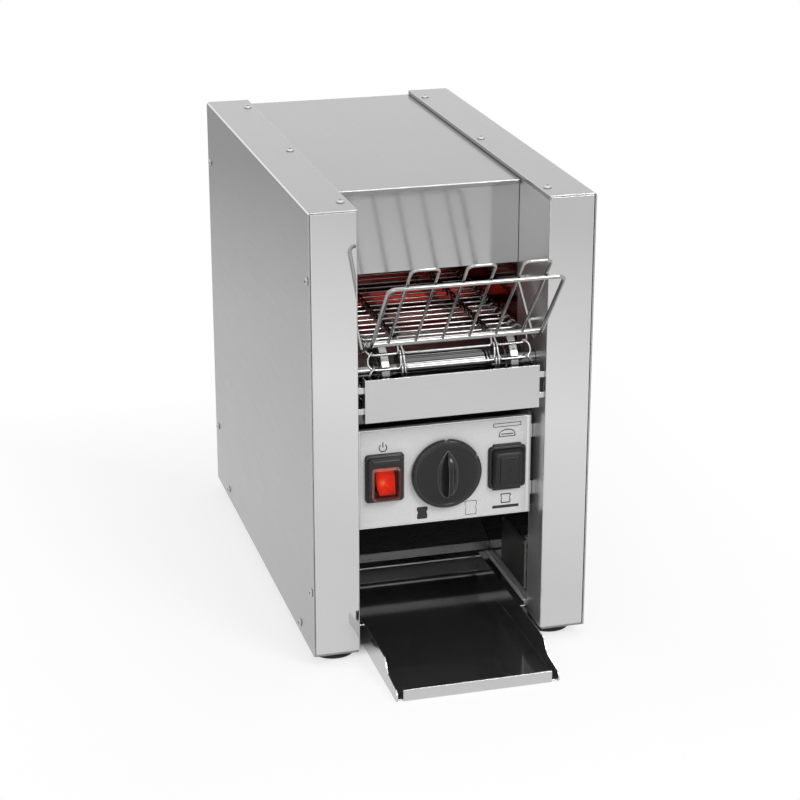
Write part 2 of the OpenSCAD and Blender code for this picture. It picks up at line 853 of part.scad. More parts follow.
module conveyor_belt() {
    start = -belt_r * belt_phase * PI / 180;
    color(chrome) translate([0, belt_y, belt_z]) for (i = [0:belt_count - 1]) {
        strand(loop_at(start + i * belt_pitch, belt_r, belt_span),
            loop_at(start + (i + 1) * belt_pitch, belt_r, belt_span));
    }
}

module belt_rails() {
    y = [belt_y + belt_r + 8, belt_rear_y - belt_r - 8];
    z1 = belt_top - 2 * wire_r - seat;
    x = open_x - seat;
    color(steel) {
        both_sides() {
            slab([rail_x - rail_t / 2, rail_x + rail_t / 2], y, [z1 - rail_h, z1]);
        }
        for (end = [y[0] - eps, y[1] - 5]) {
            slab([-x, x], [end, end + 5], [z1 - rail_h, z1 - rail_h + 2]);
        }
    }
}

module belt_sprockets() {
    both_sides() translate([wheel_x, 0, 0]) {
        toothed_wheel(belt_pitch, belt_teeth, wire_r, wheel_w, shaft_r, belt_phase);
    }
}

bush_r = shaft_r + 2.5;
bush_l = 8;

module front_shaft() {
    x = chassis_x + bush_l;
    color(chrome) bar_x(shaft_r, [-x, x], belt_y, belt_z);
}

module front_roller() {
    x = link_x2 - wire_r;
    color(chrome) difference() {
        bar_x(roller_r, [-x, x], belt_y, belt_z);
        bar_x(shaft_r + run_fit, [-x - 1, x + 1], belt_y, belt_z);
    }
}

module front_sprockets() {
    color(steel) translate([0, belt_y, belt_z]) belt_sprockets();
}

module rear_sprockets() {
    color(steel) translate([0, belt_rear_y, belt_z]) belt_sprockets();
}

module rear_shaft() {
    x0 = chassis_x + bush_l;
    color(chrome) bar_x(shaft_r, [-x0, chain_x + 6], belt_rear_y, belt_z);
}

module shaft_bushes() {
    x = chassis_x;
    color([0.72, 0.55, 0.3]) both_sides() for (y = [belt_y, belt_rear_y]) {
        difference() {
            union() {
                bar_x(bush_r, [x, x + bush_l], y, belt_z);
                bar_x(bush_r + 2.5, [x + chassis_t + 0.1, x + chassis_t + 2], y, belt_z);
            }
            bar_x(shaft_r + run_fit, [x - 1, x + bush_l + 1], y, belt_z);
        }
    }
}

// ---- Drive ----

// The chain's own frame: its origin is the motor's output, +Y runs to the rear shaft
module chain_frame() {
    translate([chain_x, motor_y, motor_z]) rotate([chain_slope, 0, 0]) children();
}

module drive_chain() {
    inner = chain_wheel_w / 2 + 0.3;
    color(dark_steel) chain_frame() {
        for (i = [0:chain_count - 1]) {
            p = loop_at(i * chain_pitch, chain_r, chain_span);
            bar_x(chain_roller_r, [-inner + 0.05, inner - 0.05], p[0], p[1]);
        }
        both_sides() along_x([inner, inner + 0.9]) difference() {
            chain_outline(chain_r + 2.4);
            chain_outline(chain_r - 2.4);
        }
    }
}

module chain_outline(r) {
    circle(r);
    translate([chain_span, 0]) circle(r);
    translate([0, -r]) square([chain_span, 2 * r]);
}

// Chain wheel with a hub towards the chassis; y counts along the chain
module chain_wheel_at(y, bore) {
    x = -chain_wheel_w / 2;
    chain_frame() translate([0, y, 0]) {
        toothed_wheel(chain_pitch, chain_teeth, chain_roller_r, chain_wheel_w, bore, 0);
        difference() {
            bar_x(bore + 3.5, [x - 5, x + eps]);
            bar_x(bore + run_fit, [x - 6, x + 1]);
        }
    }
}

module chain_wheel() {
    color(dark_steel) chain_wheel_at(chain_span, shaft_r);
}

module motor_chain_wheel() {
    color(dark_steel) {
        chain_wheel_at(0, motor_shaft_r);
        bar_x(motor_shaft_r, [motor_face + run_fit, chain_x + 4], motor_y, motor_z);
    }
}

module gear_motor() {
    x1 = motor_face;
    x0 = x1 - gearbox_l;
    y = motor_y;
    z = motor_z;
    h = gearbox_w / 2;
    color([0.3, 0.31, 0.33]) {
        slab([x0, x1], [y - h, y + h], [z - h, z + h]);
        difference() {
            bar_x(motor_r, [x0 - motor_l, x0 + eps], y, z);
            for (a = [0:30:330]) rotate_about(y, z, a) {
                slab([x0 - motor_l + 12, x0 - 8], [-1.5, 1.5], [motor_r - 2, motor_r + 1]);
            }
        }
        bar_x(8, [x0 - motor_l - 4, x0 - motor_l + eps], y, z);
    }
}

module rotate_about(y, z, a) {
    translate([0, y, z]) rotate([a, 0, 0]) children();
}

// ---- Loading rack ----

// One hoop of bent wire: two legs and a rounded top, upright in X and Z
module hoop(w, h, r) {
    b = rack_bend;
    both_sides() {
        translate([w / 2, 0, 0]) cylinder(r = r, h = h - b);
        translate([w / 2 - b, 0, h - b]) rotate([90, 0, 0]) {
            rotate_extrude(angle = 90) translate([b, 0]) circle(r);
        }
    }
    bar_x(r, [-w / 2 + b, w / 2 - b], 0, h);
}

// Side arm: one wire bent down from the bar, up to the pivot and out into the wall
module rack_arm() {
    x = rack_arm_x;
    from = [-rack_bar_y, rack_z];
    low = rack_low;
    to = [rack_pivot_y, rack_pivot_z];
    wire_run(x, from, low);
    wire_run(x, low, to);
    for (p = [low, to]) translate([x, p[0], p[1]]) sphere(rack_wire_r + 0.15);
    bar_x(rack_wire_r, [x, wall_x + 0.1], to[0], to[1]);
}

// Straight wire in the plane x between two [y, z] places
module wire_run(x, a, b) {
    way = b - a;
    translate([x, a[0], a[1]]) rotate([atan2(way[1], way[0]), 0, 0]) {
        bar_y(rack_wire_r, [0, norm(way)]);
    }
}

module loading_rack() {
    $fn = 24;
    rail_off = rack_wire_r + rack_rail_r - 0.3;
    color(chrome) {
        translate([0, -rack_bar_y, rack_z]) {
            bar_x(rack_bar_r, [-rack_half, rack_half]);
            rotate([rack_lean, 0, 0]) {
                for (i = [0:rack_hoops - 1]) {
                    translate([(2 * i - rack_hoops + 1) * rack_leg_step, 0, 0]) {
                        hoop(rack_leg_step, rack_hoop_h - rack_wire_r, rack_wire_r);
                    }
                }
                translate([0, -rail_off, 0]) {
                    hoop(2 * (rack_half - rack_rail_r - 0.4), rack_rail_up, rack_rail_r);
                }
            }
        }
        both_sides() rack_arm();
    }
}

// ---- Guard plate ----

module guard_plate() {
    x = guard_x;
    color(steel) {
        slab([-x, x], [0, sheet], [guard_z, guard_top]);
        both_sides() {
            slab([x - sheet, x], [0, guard_edge], [guard_z, guard_top]);
            for (z = lug_rows) slab([x - eps, wall_x], lug_y, [z, z + lug_w]);
        }
    }
}

// ---- Crumb tray ----

module crumb_tray() {
    x = open_x - crumb_gap;
    y = [crumb_y, crumb_rear];
    z = crumb_z;
    t = 0.8;
    color(dark_steel) {
        slab([-x, x], y, [z, z + t]);
        both_sides() slab([x - t, x], y, [z, crumb_top - 2]);
        slab([-x, x], [y[0], y[0] + t], [z, crumb_top - 0.5]);
        slab([-x, x], [y[1] - t, y[1]], [z, crumb_top - 2]);
    }
}

module crumb_tray_runners() {
    z1 = crumb_z - seat;
    z0 = bay_top + sheet + seat;
    color(steel) both_sides() difference() {
        slab([open_x - 10, open_x - seat], [low_return_d + 2, crumb_rear], [z0, z1]);
        slab([open_x - 11, open_x - seat - sheet], [low_return_d, crumb_rear + 1],
            [z0 - 1, z1 - sheet]);
    }
}

// ---- Exit: chute and toast tray ----

// Side view of the chute as (Y, Z): lip, slope, bend and rear guide
function chute_points() =
    let (t = sheet, r = chute_bend, a = chute_slope, n = 16,
        cy = chute_rear_y - t - r,
        run = (cy + r * sin(a) - chute_y) / cos(a),
        cz = chute_z + run * sin(a) + r * cos(a),
        top = upper_refl_z - reflector_edge)
    concat(
        [[chute_y, chute_z - chute_lip], [chute_y + t, chute_z - chute_lip],
            [chute_y + t, chute_z + t * tan(a) - t / cos(a)]],
        [for (i = [0:n]) let (w = (a - 90) * (1 - i / n))
            [cy + (r + t) * cos(w), cz + (r + t) * sin(w)]],
        [[chute_rear_y, top], [chute_rear_y - t, top]],
        [for (i = [0:n]) let (w = (a - 90) * i / n) [cy + r * cos(w), cz + r * sin(w)]],
        [[chute_y, chute_z]]);

module exit_chute() {
    x = open_x - seat;
    color(polished) along_x([-x, x]) polygon(chute_points());
}

// Side view of the toast tray's sides as (Y, Z) over the tray floor
function tray_side_points() =
    let (y0 = -tray_reach, s0 = -tray_reach + tray_nose_l, s = 14, n = 10, r = 7)
    concat(
        [[tray_rear, 0], [tray_rear, tray_h]],
        [for (i = [0:n]) [s0 + s * (1 - i / n), tray_h
            - (tray_h - tray_nose_h) * (1 - cos(180 * i / n)) / 2]],
        [for (i = [0:n]) [y0 + r - r * sin(90 * i / n),
            tray_nose_h - 2 - r + r * cos(90 * i / n)]],
        [[y0, 2], [y0 + 2, 0]]);

module toast_tray() {
    x = tray_x;
    t = tray_t;
    z = tray_z;
    lip = x - tray_lip_in;
    color(polished) {
        slab([-x, x], [-tray_reach + 4, tray_rear], [z, z + t]);
        both_sides() {
            translate([0, 0, z]) along_x([x - t, x]) polygon(tray_side_points());
            slab([x - eps, x + tray_flange], [tray_flange_y, tray_rear],
                [z + tray_h - t, z + tray_h]);
        }
        slab([-lip, lip], [-tray_reach + 2, -tray_reach + 2 + t], [z, z + tray_lip_h]);
        slab([-lip, lip], [-tray_reach + 2, -tray_reach + 4 + eps], [z, z + t]);
    }
}

module toast_tray_rails() {
    z1 = tray_z + tray_h - tray_t - seat;
    x = tray_x + 1;
    color(dark_steel) both_sides() difference() {
        slab([x, open_x - seat], [low_return_d + 2, chute_y + 2], [z1 - 6, z1]);
        slab([x - 1, open_x - seat - sheet], [low_return_d, chute_y + 3],
            [z1 - 7, z1 - sheet]);
    }
}

module blank_data_plate() {
    x = open_x - plate_t;
    y = low_return_d + 6;
    z = plate_z;
    color([0.7, 0.7, 0.7]) difference() {
        slab([x, open_x], [y, y + plate_l], [z, z + plate_h]);
        for (b = [y + 4, y + plate_l - 4], c = [z + 4, z + plate_h - 4]) {
            bar_x(1.2, [x - 1, open_x + 1], b, c);
        }
    }
}

// ---- Control panel ----

module panel_openings(y) {
    for (s = [-1, 1]) {
        translate([s * switch_x, 0, panel_mid]) {
            slab([-switch_w / 2 - seat, switch_w / 2 + seat], y,
                [-switch_h / 2 - seat, switch_h / 2 + seat]);
        }
    }
    bar_y(pot_bush_r + seat, y, 0, panel_mid);
}

pot_bush_r = spindle_r + 1.5;

module control_panel() {
    x = panel_x;
    t = sheet;
    y = panel_y;
    color(steel) difference() {
        union() {
            slab([-x, x], [y, y + t], [panel_z, panel_top]);
            for (z = [panel_z, panel_top - t]) slab([-x, x], [y, y + panel_edge], [z, z + t]);
            both_sides() {
                slab([x - t, x], [y, y + panel_edge], [panel_z, panel_top]);
                for (z = [panel_z + 12, panel_top - 24]) {
                    slab([x - eps, open_x - seat], [y + panel_edge - t, y + panel_edge],
                        [z, z + 12]);
                }
            }
        }
        panel_openings([y - 1, y + t + 1]);
    }
}

module panel_overlay() {
    color([0.86, 0.86, 0.86]) difference() {
        slab([-panel_x + 1, panel_x - label_margin], [panel_y - label_t, panel_y],
            [panel_z + 1, panel_top - 1]);
        panel_openings([panel_y - 1, panel_y + 1]);
    }
}

module control_bay() {
    x = open_x - seat;
    y = [panel_y + panel_edge + seat, chute_y + 40];
    t = sheet;
    color(dark_steel) {
        slab([-x, x], y, [panel_z, panel_z + t]);
        slab([-x, x], y, [bay_top, bay_top + t]);
        slab([-x, x], [y[1] - t, y[1]], [panel_z, bay_top + t]);
        for (p = board_spots) translate([p[0], p[1], panel_z + t - eps]) cylinder(r = 3, h = 6);
    }
}

switch_front = panel_y - label_t;

// Body of a rocker switch: bezel in front of the panel, hollow box behind it
module switch_body(tabs) {
    front = switch_front - bezel_t;
    w = switch_w;
    h = switch_h;
    translate([0, 0, panel_mid]) difference() {
        union() {
            along_y([front, switch_front]) {
                round_rect(bezel_w, bezel_h - 2 * tabs, bezel_r);
                if (tabs > 0) square([bezel_w - 8, bezel_h], center = true);
            }
            slab([-w / 2, w / 2], [switch_front - eps, panel_y + switch_d], [-h / 2, h / 2]);
            for (z = [-8, 0, 8]) {
                slab([-3, 3], [panel_y + switch_d, panel_y + switch_d + 9], [z - 0.4, z + 0.4]);
            }
        }
        slab([-rocker_w / 2 - 0.5, rocker_w / 2 + 0.5], [front - 1, panel_y + 7],
            [-rocker_l / 2 - 1, rocker_l / 2 + 1]);
        bar_x(1.5 + run_fit, [-rocker_w / 2 - 3, rocker_w / 2 + 3], rocker_y, 0);
    }
}

rocker_y = switch_front - 0.5;

// Rocker with its pivot pins, tilted so that its upper end is pressed in
module rocker() {
    l = rocker_l / 2;
    w = rocker_w / 2;
    translate([0, rocker_y, panel_mid]) {
        rotate([-rocker_tilt, 0, 0]) difference() {
            along_x([-w, w]) polygon([[-4.5, -l], [-5.2, -l + 1.5], [-3.4, 0],
                [-5.2, l - 1.5], [-4.5, l], [1, l - 1], [4, 3], [4, -3], [1, -l + 1]]);
            slab([-w - 1, -w + 1], [-7, -1], [-l - 1, l + 1]);
            slab([w - 1, w + 1], [-7, -1], [-l - 1, l + 1]);
        }
        bar_x(1.5, [-w - 2.5, w + 2.5]);
    }
}

// Splash cover over a rocker: a hollow cap, deeper over its lower end
module splash_cover() {
    front = switch_front - bezel_t;
    w = rocker_w / 2 + 5;
    l = rocker_l / 2 + 5.5;
    t = 1;
    translate([0, 0, panel_mid]) difference() {
        along_x([-w, w]) cap_profile(front, l, 0);
        along_x([-w + t, w - t]) cap_profile(front + eps, l - t, t);
        for (s = [-1, 1]) {
            translate([s * w, 0, 0]) rotate([0, s * 45, 0]) slab([-0.6, 0.6], [0, front + 1],
                [-1, 1]);
        }
    }
}

module cap_profile(y, l, t) {
    polygon([[y, -l], [y - 6.2 + t, -l + 0.6], [y - 7.6 + t, -l + 2.4], [y - 6.6 + t, 0],
        [y - 6 + t, l - 2.6], [y - 4.6 + t, l - 0.6], [y, l]]);
}

module speed_knob() {
    y0 = switch_front - 0.8;
    translate([0, y0, panel_mid]) rotate([90, 0, 0]) {
        color(black) {
            difference() {
                union() {
                    rotate_extrude($fn = 96) polygon([[0, 0], [knob_r - 0.8, 0],
                        [knob_r, 0.8], [knob_r, knob_t - 2.6], [knob_r - 1.4, knob_t - 1.2],
                        [knob_r - 4, knob_t - 0.5], [knob_r - 9, knob_t], [0, knob_t]]);
                    knob_grip();
                }
                translate([0, 0, -1]) cylinder(r = spindle_r + run_fit, h = knob_t - 1);
                translate([0, 0, -1]) difference() {
                    cylinder(r = knob_r - 2.5, h = knob_t - 2);
                    cylinder(r = pot_bush_r + 4, h = knob_t - 2);
                }
                translate([0, 0, -1]) cylinder(r = pot_bush_r + 3.2, h = 3);
                for (a = [90, 28]) rotate([0, 0, a]) {
                    slab([knob_r - 1.6, knob_r + 1], [-0.6, 0.6], [-1, knob_t + 1]);
                }
            }
        }
    }
}

module knob_spindle() {
    color(chrome) translate([0, switch_front - 0.8 + spindle_back, panel_mid]) {
        rotate([90, 0, 0]) cylinder(r = spindle_r, h = spindle_back + knob_t - 2.2);
    }
}

spindle_back = 8;

// Grip across the knob's face: long, narrow, pointed at its upper end
module knob_grip() {
    l = knob_grip_l / 2;
    w = knob_grip_w / 2;
    intersection() {
        linear_extrude(knob_t + knob_grip_h) polygon([[0, l], [w * 0.62, l * 0.68],
            [w, l * 0.27], [w, -l * 0.59], [w * 0.6, -l * 0.86], [0, -l], [-w * 0.6, -l * 0.86],
            [-w, -l * 0.59], [-w, l * 0.27], [-w * 0.62, l * 0.68]]);
        translate([-w - 1, 0, knob_t + knob_grip_h - 60]) rotate([0, 90, 0]) {
            cylinder(r = 60, h = 2 * w + 2, $fn = 180);
        }
    }
}

module potentiometer() {
    y = panel_y + sheet;
    color([0.55, 0.56, 0.58]) translate([0, 0, panel_mid]) difference() {
        union() {
            bar_y(12, [y + seat, y + 11], 0, 0);
            bar_y(pot_bush_r, [switch_front - 2.2, y + 1], 0, 0);
        }
        bar_y(spindle_r + run_fit, [0, y + 8.5], 0, 0);
    }
}

module speed_board() {
    z = panel_z + sheet + 6;
    x = board_x[0];
    y = board_y[0];
    on_board = z + board_t - eps;
    color([0.1, 0.35, 0.16]) slab(board_x, board_y, [z, z + board_t]);
    color(black) {
        slab([x + 8, x + 28], [y + 14, y + 36], [on_board, z + 18]);
        slab([x + 34, x + 52], [y + 10, y + 24], [on_board, z + 14]);
        for (i = [1:3]) translate([x + i * 12, y + board_l - 22, on_board]) {
            cylinder(r = 4.5, h = 20);
        }
    }
}

// ---- Cooling fan ----

module fan_frame() {
    w = fan_w / 2;
    y = [inner_rear_y - fan_d, inner_rear_y];
    color(black) translate([fan_x, 0, fan_z]) {
        difference() {
            along_y(y) round_rect(fan_w, fan_w, 4);
            bar_y(w - 2, [y[0] - 1, y[1] + 1]);
            for (a = [-1, 1], b = [-1, 1]) bar_y(2.2, [y[0] - 1, y[1] + 1], a * (w - 4.5), b * (w - 4.5));
        }
        difference() {
            union() {
                bar_y(15, [y[0], y[0] + 4]);
                for (a = [45:90:315]) rotate([0, a, 0]) {
                    slab([0, w + 4], [y[0], y[0] + 3], [-1.5, 1.5]);
                }
                bar_y(2.5, [y[0], y[1] - 8]);
            }
        }
    }
    color(black) for (s = [-1, 1]) {
        slab([fan_x + s * (w - 8) - 6, fan_x + s * (w - 8) + 6], [y[0] + 2, y[1]],
            [chassis_t + seat, fan_z - w + 1]);
    }
}

module fan_rotor() {
    w = fan_w / 2;
    y = [inner_rear_y - fan_d + 5, inner_rear_y - 4];
    color([0.12, 0.12, 0.13]) translate([fan_x, 0, fan_z]) difference() {
        union() {
            bar_y(14, y);
            for (i = [0:fan_blades - 1]) rotate([0, i * 360 / fan_blades, 0]) {
                translate([13, (y[0] + y[1]) / 2, 0]) rotate([38, 0, 0]) {
                    slab([0, w - 2 - 13 - 0.8], [-9, 9], [-0.8, 0.8]);
                }
            }
        }
        bar_y(2.5 + run_fit, [y[0] - 1, y[1] - 2]);
    }
}

// ---- Supply ----

module terminal_block() {
    w = terminal_w;
    l = terminal_l;
    h = terminal_h;
    color([0.9, 0.88, 0.8]) translate([-gland_x + 15, body_d - terminal_in, floor_z]) {
        difference() {
            cube([w, l, h]);
            for (i = [0:4]) translate([w / 2, l * (0.12 + i * 0.19), h / 2]) {
                cylinder(r = w / 8, h = h);
            }
        }
    }
}

module cable_gland() {
    color(black) difference() {
        union() {
            bar_y(gland_neck_r, [rear_y - 9, body_d + 1], -gland_x, gland_z);
            translate([-gland_x, body_d + 0.1, gland_z]) rotate([-90, 0, 0]) {
                cylinder(r = gland_r, h = 7);
                cylinder(r1 = gland_r - 1.5, r2 = gland_bore_r + 2, h = gland_out - 0.1);
            }
            translate([-gland_x, rear_y - 6.1, gland_z]) rotate([-90, 0, 0]) {
                cylinder(r = gland_r + 1, h = 6, $fn = 6);
            }
        }
        bar_y(gland_bore_r, [rear_y - 10, body_d + gland_out + 1], -gland_x, gland_z);
    }
}

place() base_plate();
place() rear_panel();
place() top_panel();
place() on_side(-1) side_cover();  // side_cover_left
place() on_side(1) side_cover();  // side_cover_right
place() on_side(-1) front_column();  // front_column_left
place() on_side(1) front_column();  // front_column_right
place() on_side(-1) chassis();  // chassis_left
place() on_side(1) chassis();  // chassis_right
place() on_side(-1) inner_wall();  // inner_wall_left
place() on_side(1) inner_wall();  // inner_wall_right
place() front_plate();
place() feet();
place() foot_screws();
place() on_side(-1) side_screws();  // side_screws_left
place() on_side(1) side_screws();  // side_screws_right
place() top_screws();
place() upper_reflector();
place() lower_reflector();
place() insulation_blanket();
union() {  // upper_heating_tubes
    place() heating_tubes(upper_tube_rows, upper_tube_z);
}
union() {  // lower_heating_tubes
    place() heating_tubes(lower_tube_rows, lower_tube_z);
}
place() ceramic_tube_ends();
place() conveyor_belt();
place() belt_rails();
place() front_shaft();
place() front_roller();
place() front_sprockets();
place() rear_shaft();
place() rear_sprockets();
place() shaft_bushes();
place() chain_wheel();
place() drive_chain();
place() motor_chain_wheel();
place() gear_motor();
place() loading_rack();
place() guard_plate();
place() crumb_tray();
place() crumb_tray_runners();
place() exit_chute();
place() toast_tray();
place() toast_tray_rails();
place() control_panel();
place() panel_overlay();
place() control_bay();
union() {  // power_switch_body
    place() color(black) translate([-switch_x, 0, 0]) switch_body(0);
}
union() {  // power_rocker
    place() color([0.9, 0.12, 0.05]) translate([-switch_x, 0, 0]) rocker();
}
union() {  // power_splash_cover
    place() color([0.6, 0.3, 0.28, 0.5]) translate([-switch_x, 0, 0]) splash_cover();
}
union() {  // selector_switch_body
    place() color(black) translate([switch_x, 0, 0]) switch_body(2);
}
union() {  // selector_rocker
    place() color(black) translate([switch_x, 0, 0]) rocker();
}
union() {  // selector_splash_cover
    place() color(black) translate([switch_x, 0, 0]) splash_cover();
}
place() speed_knob();
place() knob_spindle();
place() potentiometer();
place() speed_board();
place() fan_frame();
place() fan_rotor();
place() terminal_block();
place() cable_gland();
place() blank_data_plate();
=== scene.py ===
# Countertop conveyor toaster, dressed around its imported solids. Metres and radians, Z up,
# the counter at Z = 0; sizes that go through at() are in mm. The sections follow the machine
# as it is put together.
import bmesh
import bpy
import math
from mathutils import Matrix, Vector


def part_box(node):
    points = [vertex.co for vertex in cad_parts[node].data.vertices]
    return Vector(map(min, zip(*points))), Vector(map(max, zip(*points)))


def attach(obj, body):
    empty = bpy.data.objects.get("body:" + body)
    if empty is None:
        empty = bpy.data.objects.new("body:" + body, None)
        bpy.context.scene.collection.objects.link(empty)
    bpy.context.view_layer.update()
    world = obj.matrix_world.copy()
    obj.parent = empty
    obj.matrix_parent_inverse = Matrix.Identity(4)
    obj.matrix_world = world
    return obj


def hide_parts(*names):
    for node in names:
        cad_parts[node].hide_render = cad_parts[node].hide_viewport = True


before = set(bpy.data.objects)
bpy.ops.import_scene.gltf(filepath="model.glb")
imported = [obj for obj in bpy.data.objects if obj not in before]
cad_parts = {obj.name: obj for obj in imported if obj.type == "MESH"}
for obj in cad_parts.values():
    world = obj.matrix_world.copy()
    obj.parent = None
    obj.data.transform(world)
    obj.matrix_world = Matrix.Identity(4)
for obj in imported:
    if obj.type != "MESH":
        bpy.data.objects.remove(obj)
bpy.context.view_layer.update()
scene = bpy.context.scene

# ---- Studio: camera, counter, lamps -----------------------------------------------------
# A pale counter top in a white studio. The camera looks down from the front left. The key
# lamp stands front right, so the machine's left side and the counter beside it are darker.
CAMERA_AT = (-0.4928, -1.7908, 0.8432)
CAMERA_YAW = 0.271
CAMERA_PITCH = -0.350
CAMERA_LENS = 98.4
SENSOR_WIDTH = 36

camera = bpy.data.objects.new("camera", bpy.data.cameras.new("camera"))
scene.collection.objects.link(camera)
camera.data.lens = CAMERA_LENS
camera.data.sensor_width = SENSOR_WIDTH
camera.data.clip_start = 0.05
camera.location = CAMERA_AT
camera.rotation_euler = (math.pi / 2 + CAMERA_PITCH, 0, -CAMERA_YAW)
scene.camera = camera
scene.view_settings.view_transform = "Standard"


def new_material(name):
    """A material with an empty node tree and its output node."""
    material = bpy.data.materials.new(name)
    material.use_nodes = True
    tree = material.node_tree
    tree.nodes.clear()
    return material, tree, tree.nodes.new("ShaderNodeOutputMaterial")


def node(tree, kind, **inputs):
    """A shader node with the given inputs set."""
    made = tree.nodes.new(kind)
    for name, value in inputs.items():
        made.inputs[name.replace("_", " ")].default_value = value
    return made


def maths(tree, operation, first, second=0):
    """The result of a math node on one or two sockets or numbers."""
    made = tree.nodes.new("ShaderNodeMath")
    made.operation = operation
    for socket, value in zip(made.inputs, (first, second)):
        if isinstance(value, (int, float)):
            socket.default_value = value
        else:
            tree.links.new(value, socket)
    return made.outputs[0]


def vectors(tree, operation, first, second):
    """The result of a vector math node on two sockets."""
    made = tree.nodes.new("ShaderNodeVectorMath")
    made.operation = operation
    tree.links.new(first, made.inputs[0])
    tree.links.new(second, made.inputs[1])
    return made.outputs["Value" if operation == "DOT_PRODUCT" else "Vector"]


def coordinates(tree, kind="Object"):
    """The X, Y and Z outputs of a surface point's object coordinates, or of its normal."""
    split = tree.nodes.new("ShaderNodeSeparateXYZ")
    tree.links.new(tree.nodes.new("ShaderNodeTexCoord").outputs[kind], split.inputs[0])
    return split.outputs


def ramp(tree, value, *stops):
    """A colour by the value, from stops of (position, colour), with a number for a grey."""
    made = tree.nodes.new("ShaderNodeValToRGB")
    marks = made.color_ramp.elements
    while len(marks) < len(stops):
        marks.new(0.5)
    for mark, (position, colour) in zip(marks, stops):
        mark.position = position
        mark.color = (*(colour if isinstance(colour, tuple) else (colour,) * 3), 1)
    tree.links.new(value, made.inputs["Fac"])
    return made.outputs["Color"]


# The sky is seen white, directly and in the steel, and gives about half as much light.
SKY_LIGHT = 0.55
world = bpy.data.worlds.new("studio")
scene.world = world
world.use_nodes = True
sky = world.node_tree
sky.nodes.clear()
ray = sky.nodes.new("ShaderNodeLightPath")
seen = maths(sky, "MAXIMUM", maths(sky, "MAXIMUM", ray.outputs["Is Camera Ray"],
             ray.outputs["Is Glossy Ray"]), ray.outputs["Is Transmission Ray"])
sky_light = node(sky, "ShaderNodeBackground", Color=(1, 1, 1, 1))
sky.links.new(maths(sky, "ADD", maths(sky, "MULTIPLY", seen, 1 - SKY_LIGHT), SKY_LIGHT),
              sky_light.inputs["Strength"])
sky.links.new(sky_light.outputs[0],
              sky.nodes.new("ShaderNodeOutputWorld").inputs["Surface"])

# The counter shows white to the camera. In the steel its glow is a painted shade, a little
# greyer to the rear left. Under the machine the glow is taken away and its colour is painted
# darker, a painted shadow.
COUNTER_HALF = 6
SHADE_HALF_X, SHADE_HALF_Y, SHADE_MID_Y = 0.085, 0.165, 0.02
SHADE_EDGE, SHADE_REACH = 0.025, 1 / 3
counter, tree, out = new_material("pale_counter")
lit = tree.nodes.new("ShaderNodeBsdfDiffuse")
glow = node(tree, "ShaderNodeEmission", Strength=1.0)
ray = tree.nodes.new("ShaderNodeLightPath")
here = coordinates(tree)
across = maths(tree, "ADD", maths(tree, "MULTIPLY", maths(
    tree, "SUBTRACT", here["X"], here["Y"]), 0.25), 0.5)
# Painted shade in reflections: the glow seen in the steel, set by place on the counter.
painted_reflection_glow = ramp(tree, across, (0.0, 0.45), (0.24, 0.78), (0.42, 0.9), (0.6, 0.8), (0.74, 1.0),
                (1.0, 0.6))
straight = maths(tree, "MAXIMUM", ray.outputs["Is Camera Ray"],
                 ray.outputs["Is Transmission Ray"])
tree.links.new(maths(tree, "MAXIMUM", straight, painted_reflection_glow), glow.inputs["Strength"])
beside = maths(tree, "SUBTRACT", maths(tree, "ABSOLUTE", here["X"]), SHADE_HALF_X)
behind = maths(tree, "SUBTRACT", maths(tree, "ABSOLUTE", maths(
    tree, "SUBTRACT", here["Y"], SHADE_MID_Y)), SHADE_HALF_Y)
away = maths(tree, "MAXIMUM", beside, behind)
near = ramp(tree, maths(tree, "MULTIPLY", away, 1 / SHADE_REACH), (0.0, 0.72), (1.0, 1.0))
just_out = maths(tree, "MULTIPLY", away, 1 / SHADE_EDGE)
share = maths(tree, "ADD", maths(tree, "MULTIPLY", straight, near),
              maths(tree, "MULTIPLY", ray.outputs["Is Glossy Ray"], 0.78))
share = maths(tree, "MULTIPLY", share, ramp(tree, just_out, (0.0, 0.0), (1.0, 1.0)))
# Painted shadow: the counter's colour is darker under the machine.
tree.links.new(ramp(tree, just_out, (0.0, 0.25), (1.0, 0.86)), lit.inputs["Color"])
mixed = tree.nodes.new("ShaderNodeMixShader")
tree.links.new(share, mixed.inputs[0])
tree.links.new(lit.outputs[0], mixed.inputs[1])
tree.links.new(glow.outputs[0], mixed.inputs[2])
tree.links.new(mixed.outputs[0], out.inputs["Surface"])

floor_mesh = bpy.data.meshes.new("counter_top")
floor_mesh.from_pydata([(x * COUNTER_HALF, y * COUNTER_HALF, 0) for x, y in (
    (-1, -1), (1, -1), (1, 1), (-1, 1))], [], [(0, 1, 2, 3)])
floor_mesh.materials.append(counter)
floor = bpy.data.objects.new("counter_top", floor_mesh)
scene.collection.objects.link(floor)

LAMPS_AIM = Vector((0, 0, 0.2))


def lamp(name, place, width, watts):
    """A round lamp of that width, aimed at the machine's middle."""
    light = bpy.data.lights.new(name, "AREA")
    light.shape = "DISK"
    light.size = width
    light.energy = watts
    holder = bpy.data.objects.new(name, light)
    holder.location = place
    holder.rotation_euler = (LAMPS_AIM - Vector(place)).to_track_quat("-Z", "Y").to_euler()
    scene.collection.objects.link(holder)


lamp("key", (1.05, -2.2, 2.2), 1.3, 44)
lamp("front_fill", (-1.2, -2.6, 1.2), 2.4, 16)
lamp("top", (0.2, 0.3, 2.6), 3.2, 13)

# ---- Sheet-steel body -------------------------------------------------------------------
# Folded stainless sheets, screwed together: side covers with raised top flanges, front
# columns, top panel, throat plate, inner walls and rear panel. Columns and throat are
# polished, the walls sooty where the tubes heat them; the rest has a fine grain.
NOISE_LOW, NOISE_HIGH = 0.3, 0.7
BUMP_DEPTH = 0.0002
SOOT, SOOT_FADE = (0.2, 0.17, 0.16), 0.02


